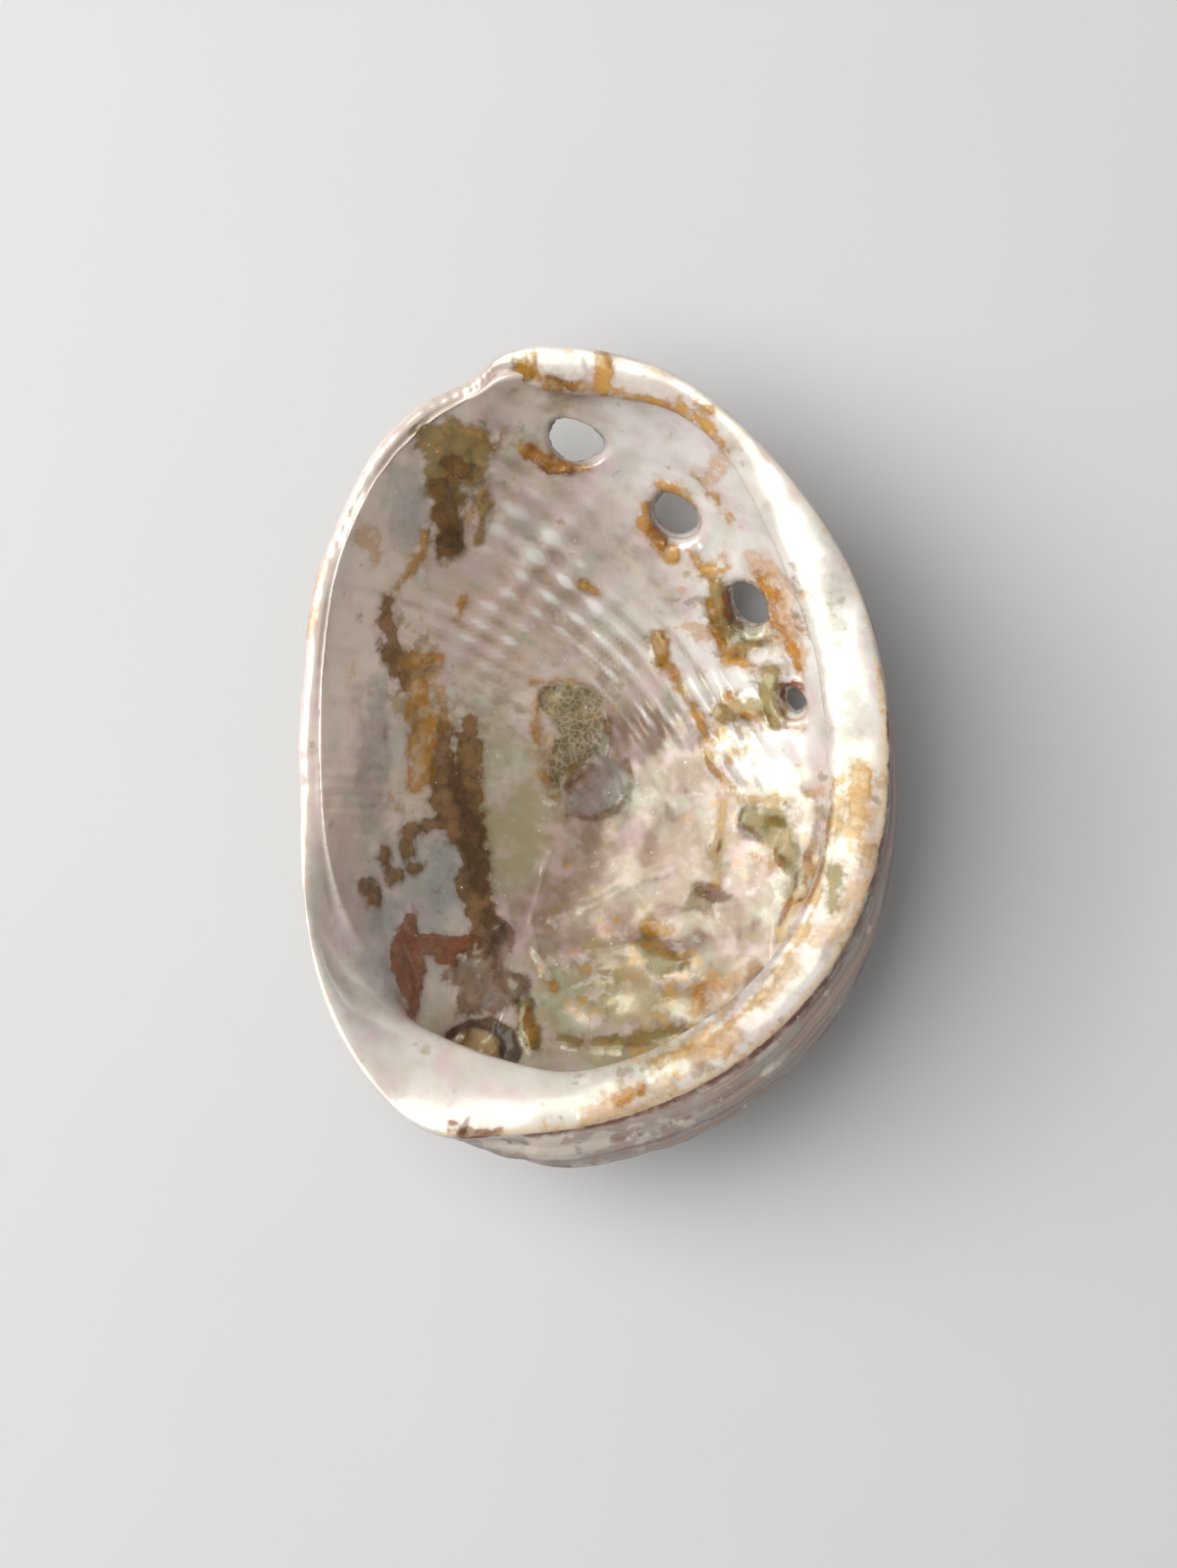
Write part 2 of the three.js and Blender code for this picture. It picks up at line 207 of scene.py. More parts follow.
# Controls that bring the curve close to the stations themselves.
RIM_CONTROLS = RIM - (np.roll(RIM, 1, 0) - 2 * RIM + np.roll(RIM, -1, 0)) / 6


# ---- The wall's section, from the pole out and up to the rim ----

def rim_at(u):
    """The rim at u, 0 to 1 once round, with its direction and distance from the pole."""
    row = closed_bspline(RIM_CONTROLS, np.mod(u, 1) * len(RIM))
    out = row[..., :2] - POLE
    radius = np.hypot(out[..., 0], out[..., 1])
    return {
        "way": out / radius[..., None],
        "radius": radius,
        "z": row[..., 2],
        "lean": np.radians(row[..., 3]),
        "reach": row[..., 4],
        "swell": row[..., 5],
        "shelf": np.maximum(row[..., 6], 0),
        "drop": row[..., 7],
        "seat": row[..., 8],
    }


def section(rim, v, inner):
    """A cubic in the radial plane: it leaves the pole level, with the back's radius, and
    comes up to the rim at its lean. The inner face lies square off it by the thickness.
    Returns distance from the pole's axis and height, stacked."""
    x3, z3, lean, reach = rim["radius"], rim["z"], rim["lean"], rim["reach"]
    x2 = x3 - reach * np.cos(lean)
    z2 = z3 - reach * np.sin(lean)
    x1 = np.sqrt(2 * z2 * POLE_RADIUS / 3)
    w = 1 - v
    swell = rim["swell"] * 256 / 27  # v cubed times w is 27/256 at its highest
    r = 3 * w * w * v * x1 + 3 * w * v * v * x2 + v ** 3 * x3 + swell * v ** 3 * w
    z = 3 * w * v * v * z2 + v ** 3 * z3
    dr = 3 * w * w * x1 + 6 * w * v * (x2 - x1) + 3 * v * v * (x3 - x2)
    dr = dr + swell * (3 * v ** 2 - 4 * v ** 3)
    dz = 6 * w * v * z2 + 3 * v * v * (z3 - z2)
    if inner:
        edge = mix(LIP_THICKNESS, SHELF_THICKNESS, smooth(rim["shelf"] / 5))
        up_the_wall = smooth((v - 0.3) / 0.7)
        thickness = mix(FLOOR_THICKNESS, edge, up_the_wall)
        length = np.hypot(dr, dz)
        r, z = r - dz / length * thickness, z + dr / length * thickness
    return np.stack([r, z], -1)


def lift(rim, p):
    """A point of the radial plane placed in space."""
    xy = POLE + rim["way"] * p[..., :1]
    return np.concatenate([xy, p[..., 1:] - WORN_DEPTH], -1)


def plain_face(u, v, inner):
    """Points of one face before the large relief: the section at u, placed in space."""
    rim = rim_at(u)
    return lift(rim, section(rim, v, inner))


def outward(u, v):
    """The unit normal of the outer face, away from the hollow: the cross product of its
    slopes up the wall and along it."""
    v = np.maximum(v, 0.02)  # at the pole itself there is no way along
    step = 1e-3
    along = plain_face(u + step, v, False) - plain_face(u - step, v, False)
    up = plain_face(u, v + step, False) - plain_face(u, v - step, False)
    normal = np.cross(up, along)
    return normal / np.linalg.norm(normal, axis=-1, keepdims=True)


# ---- Where things lie on the wall ----

def row_point(steps):
    """Plan position after a number of hole steps along the row's spiral."""
    turned = (ROW_STRETCH ** steps - 1) / (ROW_STRETCH - 1) * ROW_STEP
    radius = ROW_RADIUS * np.exp(-ROW_GROWTH * turned)
    angle = ROW_START - turned
    return ROW_CENTRE + radius * np.array([math.cos(angle), math.sin(angle)])


def disc_to_wall(a, b):
    """A square grid's (a, b), -1 to 1, as (u, v): the square is drawn round into a disc,
    then u is the angle clockwise from the front and v the distance from the middle."""
    x = a * np.sqrt(1 - b * b / 2)
    y = b * np.sqrt(1 - a * a / 2)
    return np.mod(np.arctan2(x, y) / (2 * np.pi) + 0.06, 1), np.hypot(x, y)


def locate(face_points, xy):
    """Grid place (i, j) of the face's vertex nearest to a plan position."""
    miss = np.hypot(face_points[..., 0] - xy[0], face_points[..., 1] - xy[1])
    return np.unravel_index(np.argmin(miss), miss.shape)


def nearest(face_points, xy):
    """The face's vertex nearest to a plan position."""
    return face_points[locate(face_points, xy)]


# ---- Large relief, the same as the solid's: ridge, spire and pit ----

def large_relief(points, v, anchors):
    """How far the face stands out, away from the hollow: a sum of bells, faded out
    before the rim."""
    total = np.zeros(points.shape[:-1])
    for centre, height, radius in anchors:
        total += height * hump(np.linalg.norm(points - centre, axis=-1), radius)
    near_rim = smooth((v - 0.86) / 0.1)
    return total * (1 - near_rim)


def large_anchors(face_points, inner):
    """Centre, height and radius of each bell on one face: two to each step of the hole
    row, lower and narrower towards the spire, and the spire's or the pit's own."""
    share = RIDGE_INSIDE if inner else 1.0
    anchors = []
    for i in range(-1, 2 * ROW_KNOBS + 1):
        fade = 1 - 0.6 * smooth((i / 2 - 3) / ROW_KNOBS)
        centre = nearest(face_points, row_point(i / 2))
        anchors.append((centre, RIDGE_HEIGHT * share * fade, fade * RIDGE_HALF_WIDTH))
    centre, shape = (PIT, PIT_SINK) if inner else (SPIRE, SPIRE_SWELL)
    anchors.append((nearest(face_points, centre), *shape))
    return anchors


class Face:
    """One face of the wall as a function of the square grid's (a, b)."""

    def __init__(self, inner):
        self.inner = inner
        line = np.linspace(-1, 1, CELLS + 1)
        self.a, self.b = np.meshgrid(line, line, indexing="ij")
        u, v = self.wall_place(self.a, self.b)
        plain = plain_face(u, v, inner)
        self.anchors = large_anchors(plain, inner)
        self.points = self.at(self.a, self.b)

    def wall_place(self, a, b):
        """The grid's (a, b) as (u, v). The inner face stops where the lip's seat is."""
        u, v = disc_to_wall(a, b)
        return u, v * rim_at(u)["seat"] if self.inner else v

    def at(self, a, b):
        """Points of the face, large relief included, for arrays of (a, b)."""
        u, v = self.wall_place(a, b)
        plain = plain_face(u, v, self.inner)
        return plain + outward(u, v) * large_relief(plain, v, self.anchors)[..., None]

    def slopes(self, i, j):
        """How the point moves per cell along each way of the grid, at a vertex."""
        p = self.points
        return (p[i + 1, j] - p[i - 1, j]) / 2, (p[i, j + 1] - p[i, j - 1]) / 2


# ---- The lip and shelf ----

# The narrow lip's six controls: share of the way from the outer face's end to the inner
# one's, and height above the line between them.
NARROW_LIP = ((0.12, 0.75), (0.32, 1.0), (0.5, 1.05), (0.68, 0.85), (0.84, 0.5), (0.95, 0.2))


def wall_end(rim, v, inner):
    """Where a face of the wall ends, and the unit way it is going there."""
    end = section(rim, v, inner)
    going = end - section(rim, v - 0.01, inner)
    return end, going / np.linalg.norm(going, axis=-1, keepdims=True)


def wide_shelf(rim, seat):
    """The shelf's six controls: two on its flat top, two round its inner edge, and two
    underneath, which hug the wall unless the hollow reaches in under the shelf."""
    tip, drop = -rim["shelf"], rim["drop"]

    def at(dx, dz):
        return np.stack([rim["radius"] + dx, rim["z"] + dz], -1)

    edge = at(tip - 0.1, -drop - 0.75)
    hollow = smooth((rim["seat"] - 0.84) / 0.08)[:, None]
    return [
        at(-0.9, 0.55 + 0 * tip),
        at(0.5 * tip, 0.45 - 0.25 * drop),
        at(tip + 0.9, 0.05 - 0.75 * drop),
        edge,
        mix(mix(edge, seat, 0.3), at(tip + 1, -drop - 1.6), hollow),
        mix(mix(edge, seat, 0.65), at(0.5 * tip + 0.2, -drop - 2.3), hollow),
    ]


def lip_controls(rim):
    """Control points of the section over the rim, in the radial plane. Where the lip is
    narrow it is a plain rounded edge; where the shelf is wide it runs flat inwards, turns
    under at the shelf's edge and goes back to the wall."""
    end, rise = wall_end(rim, np.ones_like(rim["radius"]), False)
    seat, sink = wall_end(rim, rim["seat"], True)
    narrow = [mix(end, seat, share) + rise * height for share, height in NARROW_LIP]
    is_shelf = smooth(rim["shelf"] / 4)[:, None]
    middle = [mix(p, s, is_shelf) for p, s in zip(narrow, wide_shelf(rim, seat))]
    first = [end - LIP_HOLD * rise, end, end + LIP_HOLD * rise]
    last = [seat + LIP_HOLD * sink, seat, seat - LIP_HOLD * sink]
    return np.stack(first + middle + last, 1)


def lip_points(u):
    """Rows of points over the lip, from the outer face's edge to the inner face's, on a
    cubic B-spline over the section's controls."""
    rim = rim_at(u)
    controls = lip_controls(rim)
    spans = controls.shape[1] - 3
    place = np.arange(1, LIP_ROWS + 1) / (LIP_ROWS + 1) * spans
    first = np.minimum(place.astype(int), spans - 1)
    weights = bspline_weights((place - first)[None, :, None])
    p = sum(w * controls[:, first + i] for i, w in enumerate(weights)) / 6
    column = {key: value[:, None] for key, value in rim.items()}
    return lift(column, p).swapaxes(0, 1)


# ---- Putting the skin together ----

def block_loop(index, i0, i1, j0, j1):
    """Vertex numbers once round a block of the grid."""
    return np.concatenate([
        index[i0:i1, j0], index[i1, j0:j1], index[i1:i0:-1, j1], index[i0, j1:j0:-1],
    ])


def bridge(loops):
    """Quads between loops of equal length, each joined to the next."""
    here, ahead = loops[:-1], loops[1:]
    quads = [here, np.roll(here, -1, 1), np.roll(ahead, -1, 1), ahead]
    return np.stack(quads, -1).reshape(-1, 4)


def grid_quads(index, cut):
    """Quads of a grid, leaving out the cells marked in `cut`."""
    quads = np.stack([index[:-1, :-1], index[1:, :-1], index[1:, 1:], index[:-1, 1:]], -1)
    return quads[~cut]


def bore_frame(inner_face, number):
    """Middle of a hole's inner mouth, with the bore's axis and its two half widths."""
    steps = float(number)
    i, j = locate(inner_face.points, row_point(steps))
    middle = inner_face.points[i, j]
    u, v = inner_face.wall_place(inner_face.a[i, j], inner_face.b[i, j])
    axis = mix(outward(u, v), np.array([0, 0, -1]), HOLE_UPRIGHT)
    axis /= np.linalg.norm(axis)
    row = np.append(row_point(steps + 0.2) - row_point(steps), 0)
    across = np.cross(axis, row)
    across /= np.linalg.norm(across)
    return (i, j), middle, axis, np.cross(across, axis), across


def oval_points(angle, along, across, grow):
    """Points of an oval given by its two half-width vectors, widened by `grow` all round."""
    wide = along * (1 + grow / np.linalg.norm(along))
    high = across * (1 + grow / np.linalg.norm(across))
    return np.outer(np.cos(angle), wide) + np.outer(np.sin(angle), high)


class Mouth:
    """One end of a bore on one face, with its oval edge measured in the grid's cells.
    The oval is where the slanted bore meets the face."""

    def __init__(self, face, place, axis, along, across):
        self.face, self.place = face, place
        self.along, self.across = along, across
        self.slope = np.stack(face.slopes(*place))
        self.to_cells = np.linalg.inv(np.vstack([self.slope, -axis]))

    def oval(self, angle, grow):
        """The widened oval's points as offsets in cells: the bore slid down its own
        axis onto the face."""
        return (oval_points(angle, self.along, self.across, grow) @ self.to_cells)[:, :2]

    def size(self, grow):
        """Cells each way that hold the oval when it is widened by `grow`."""
        turn = np.linspace(0, 2 * np.pi, 60)
        return np.ceil(np.abs(self.oval(turn, grow)).max(0)).astype(int)

    def open_block(self, cells):
        """Sets the block to cut from the grid, its edge as offsets in cells, and the
        oval's angle that each point of the edge belongs to."""
        i, j = self.place
        self.block = (i - cells[0], i + cells[0], j - cells[1], j + cells[1])
        offsets = np.meshgrid(np.arange(-cells[0], cells[0] + 1),
                              np.arange(-cells[1], cells[1] + 1), indexing="ij")
        loops = [block_loop(o, 0, 2 * cells[0], 0, 2 * cells[1]) for o in offsets]
        self.edge = np.stack(loops, -1).astype(float)
        flat = self.edge @ self.slope
        self.angle = np.arctan2(flat @ self.across / (self.across @ self.across),
                                flat @ self.along / (self.along @ self.along))

    def point(self, cells_off):
        """Points of the face at offsets in cells from the mouth's middle."""
        a0, b0 = self.face.a[self.place], self.face.b[self.place]
        step = 2 / CELLS
        return self.face.at(a0 + cells_off[..., 0] * step, b0 + cells_off[..., 1] * step)

    def ring(self, grow):
        """Points of the face round the oval, widened by `grow`."""
        return self.point(self.oval(self.angle, grow))

    def rings_in(self, grow):
        """Rings from just inside the block's edge to just outside the worn edge."""
        lip = self.oval(self.angle, grow)
        shares = np.arange(1, FACE_RINGS + 1) / (FACE_RINGS + 1)
        return [self.point(mix(self.edge, lip, q)) for q in shares]


def rounded(outside, corner, inside, q):
    """A quadratic curve from outside to inside that a corner point pulls round."""
    return (1 - q) ** 2 * outside + 2 * q * (1 - q) * corner + q * q * inside


def exit_place(outer, middle, axis):
    """The outer face's vertex that a bore's axis comes out nearest to."""
    off = outer.points - middle
    depth = off @ axis
    aside = np.linalg.norm(off - depth[..., None] * axis, axis=-1)
    aside[(depth < 0) | (depth > DEEPEST_BORE)] = np.inf
    return np.unravel_index(np.argmin(aside), aside.shape)


def bore_mouths(faces, number):
    """The two ends of a hole's bore, with blocks of equal size opened round them."""
    inner, outer = faces
    along_half, across_half, taper, funnel = HOLES[number]
    place, middle, axis, along, across = bore_frame(inner, number)
    along, across = along * along_half, across * across_half
    way_in = Mouth(inner, place, axis, along, across)
    way_out = Mouth(outer, exit_place(outer, middle, axis), axis, taper * along, taper * across)
    cells = np.maximum(way_in.size(funnel + RING_ROOM), way_out.size(OUTER_WEAR + RING_ROOM))
    way_in.open_block(cells)
    way_out.open_block(cells)
    return way_in, way_out


def bore_rings(way_in, way_out, funnel):
    """Rings down a rounded funnel from its worn edge, straight through the wall, and
    out round the worn edge of the other mouth."""
    oval_in, oval_out = way_in.ring(0), way_out.ring(0)
    bore = oval_out - oval_in
    length = np.linalg.norm(bore, axis=-1, keepdims=True)
    down = oval_in + bore / length * np.minimum(1.1 * funnel, 0.5 * length)
    up = oval_out - bore / length * np.minimum(OUTER_WEAR, 0.3 * length)
    rings = [rounded(way_in.ring(funnel), oval_in, down, q) for q in np.linspace(0, 1, 7)]
    rings += [mix(down, up, q) for q in (0.25, 0.5, 0.75)]
    rings += [rounded(up, oval_out, way_out.ring(OUTER_WEAR), q) for q in np.linspace(0, 1, 4)]
    return rings


def hole_rings(faces, number):
    """Rings of points from the block's edge on the inner face, down a worn funnel,
    through the bore and out to the block's edge on the outer face."""
    funnel = HOLES[number, 3]
    way_in, way_out = bore_mouths(faces, number)
    rings = way_in.rings_in(funnel)
    rings += bore_rings(way_in, way_out, funnel)
    rings += way_out.rings_in(OUTER_WEAR)[::-1]
    return np.stack(rings), (way_in.block, way_out.block)


def knob_places(inner, outer):
    """Where each hole of the row, open or long filled, comes out on the back."""
    frames = [bore_frame(inner, number) for number in range(ROW_KNOBS)]
    return np.array([outer.points[exit_place(outer, f[1], f[2])] for f in frames])


class Skin:
    """The whole shell as one closed mesh, with each vertex's layer kept for the fine
    relief: it runs from 0 outside, through the lip or a bore, to 1 inside."""

    def __init__(self):
        inner, outer = Face(True), Face(False)
        self.knobs = knob_places(inner, outer)
        self.blocks, self.layers, self.loops, self.count = [], [], [], 0
        inside = self.add_rows(inner.points, np.ones(CELLS + 1))
        outside = self.add_rows(outer.points, np.zeros(CELLS + 1))
        self.add_lip(outer, inside, outside)
        cuts = np.zeros((2, CELLS, CELLS), bool)
        for number in range(len(HOLES)):
            self.add_hole((inner, outer), number, (inside, outside), cuts)
        quads = [bridge(loops) for loops in self.loops]
        quads += [grid_quads(inside, cuts[0]), grid_quads(outside, cuts[1])[:, ::-1]]
        self.points, self.layer = np.vstack(self.blocks), np.concatenate(self.layers)
        self.quads = np.vstack(quads)
        self.drop_unused()

    def add_rows(self, rows, layer):
        """Adds rows of points, each with its layer. Returns their vertex numbers."""
        index = self.count + np.arange(rows.shape[0] * rows.shape[1]).reshape(rows.shape[:2])
        self.count += index.size
        self.blocks.append(rows.reshape(-1, 3))
        self.layers.append(np.repeat(layer, rows.shape[1]))
        return index

    def add_lip(self, outer, inside, outside):
        """Joins the edges of the two faces over the lip."""
        whole = (0, CELLS, 0, CELLS)
        u, _ = disc_to_wall(block_loop(outer.a, *whole), block_loop(outer.b, *whole))
        lip = self.add_rows(lip_points(u), np.arange(1, LIP_ROWS + 1) / (LIP_ROWS + 1))
        edges = block_loop(outside, *whole), block_loop(inside, *whole)
        self.loops.append(np.vstack([edges[0], lip, edges[1]]))

    def add_hole(self, faces, number, indices, cuts):
        """Joins a block cut from the inner face to one cut from the outer."""
        rings, blocks = hole_rings(faces, number)
        start, end = TURNING_RINGS
        layer = 1 - smooth((np.arange(len(rings)) - start) / (end - start))
        through = self.add_rows(rings, layer)
        way_in, way_out = (block_loop(index, *block) for index, block in zip(indices, blocks))
        self.loops.append(np.vstack([way_in, through, way_out]))
        for cut, (i0, i1, j0, j1) in zip(cuts, blocks):
            cut[i0:i1, j0:j1] = True

    def drop_unused(self):
        """Vertices inside the cut blocks belong to no face, so they go."""
        used = np.zeros(len(self.points), bool)
        used[self.quads] = True
        number = np.cumsum(used) - 1
        self.points = self.points[used]
        self.layer = self.layer[used]
        self.quads = number[self.quads]

    def normals(self):
        """Unit normals at the vertices, out of the solid: the sum of the normals of the
        faces that meet there, each as long as its face is large."""
        corner = self.points[self.quads]
        face = np.cross(corner[:, 2] - corner[:, 0], corner[:, 3] - corner[:, 1])
        total = np.zeros_like(self.points)
        for k in range(4):
            for axis in range(3):
                total[:, axis] += np.bincount(self.quads[:, k], face[:, axis], len(total))
        return total / np.linalg.norm(total, axis=1, keepdims=True)


# ---- Where each vertex lies, in the terms that relief and stains are written in ----

CORD_TWIST = 0.425  # how a spiral cord draws away from the tip per radian
CORD_SPACING = 0.05  # between cords, in the log of the distance from the tip
GROWTH_START = 1.536  # radians, where the lip's own growth line begins
GROWTH_SLANT = 0.765  # radians a growth line swings back as it nears the tip
GROWTH_REACH = 4.413  # log of the lip's distance from the tip, in millimetres
GROWTH_TURN = 1.325  # radians for one whole step of `growth`
GROWTH_SPACING = 0.075  # between the pearl's folds, as a share of that step
SPIRAL_SEAM = math.radians(80)  # the coordinates join up below the tip, under the lip
SHELF_TOP = 0.6  # layer at which the shelf's edge turns under
SKIN_TOP = 0.03  # layer up to which a vertex is on the back alone
FAR_OFF = 50.0  # the depth, below nought, where there is no stain at all
DEPTH_LIMIT = 4.0  # the paint has no use for more, above or below nought
SPREAD = 0.8  # how much further out a point of the outer wall counts per mm of height


def turn_of(off):
    """u of the rim point that lies the same way from the pole. The rim's bearing runs
    nearly in step with u, so only the small lead of one on the other is looked up."""
    u = np.linspace(0, 1, 1500, endpoint=False)
    way = rim_at(u)["way"]
    bearing = np.mod(np.arctan2(way[:, 0], way[:, 1]) / (2 * np.pi), 1)
    lead = np.mod(u - bearing + 0.5, 1) - 0.5
    sought = np.mod(np.arctan2(off[:, 0], off[:, 1]) / (2 * np.pi), 1)
    return np.mod(sought + np.interp(sought, bearing, lead, period=1), 1)


def spiral_place(x, y):
    """Coordinates about the spire's tip: `cord` is level along a spiral cord, being the
    log of the distance less a share of the angle, and `growth` along a growth line."""
    dx, dy = x - TIP[0], y - TIP[1]
    far = np.log(np.hypot(dx, dy) + 0.5)
    turn = np.mod(np.arctan2(dy, dx) + SPIRAL_SEAM, 2 * np.pi) - SPIRAL_SEAM
    cord = far - CORD_TWIST * turn
    growth = (GROWTH_START + GROWTH_SLANT * (GROWTH_REACH - far) - turn) / GROWTH_TURN
    return cord, growth


class Places:
    """Coordinates of every vertex: plan position, depth from the rim and spiral place."""

    def __init__(self, skin):
        self.points, self.layer = skin.points, skin.layer
        self.x, self.y, self.z = skin.points.T
        off = skin.points[:, :2] - POLE
        radius = np.hypot(off[:, 0], off[:, 1])
        self.rim = rim_at(turn_of(off))
        inward = self.rim["radius"] - radius
        down = self.rim["z"] - WORN_DEPTH - self.z
        # Shares of the back, of the hollow, and of the lip and shelf between them.
        self.outer = 1 - smooth(skin.layer / 0.1)
        self.bowl = smooth((skin.layer - SHELF_TOP) / 0.12)
        self.shelf = (1 - self.outer) * (1 - self.bowl)
        # Millimetres from the rim: minus down the outside, plus over the lip and inside.
        self.edge = mix(inward, -np.hypot(down, inward), self.outer)
        way = off / np.maximum(radius, 1e-6)[:, None]
        spread = skin.points[:, :2] + way * (SPREAD * self.z * self.outer)[:, None]
        self.cord, self.growth = spiral_place(spread[:, 0], spread[:, 1])
        self.spread = spread

    def bell(self, x, y, radius):
        """A soft round patch about a plan position."""
        return hump(np.hypot(self.x - x, self.y - y), radius)


def stroke_depth(x, y, strokes):
    """Millimetres inside the nearest edge of any stroke, minus outside. A stroke runs
    straight from point to point, each point being x, y and half width there."""
    best = np.full(x.shape, -FAR_OFF)
    for stroke in strokes:
        ends = zip(stroke, stroke[1:]) if len(stroke) > 1 else [(stroke[0], stroke[0])]
        for (x0, y0, w0), (x1, y1, w1) in ends:
            dx, dy = x1 - x0, y1 - y0
            square = max(dx * dx + dy * dy, 1e-9)
            along = np.clip(((x - x0) * dx + (y - y0) * dy) / square, 0, 1)
            off = np.hypot(x - x0 - along * dx, y - y0 - along * dy)
            best = np.maximum(best, mix(w0, w1, along) - off)
    return best
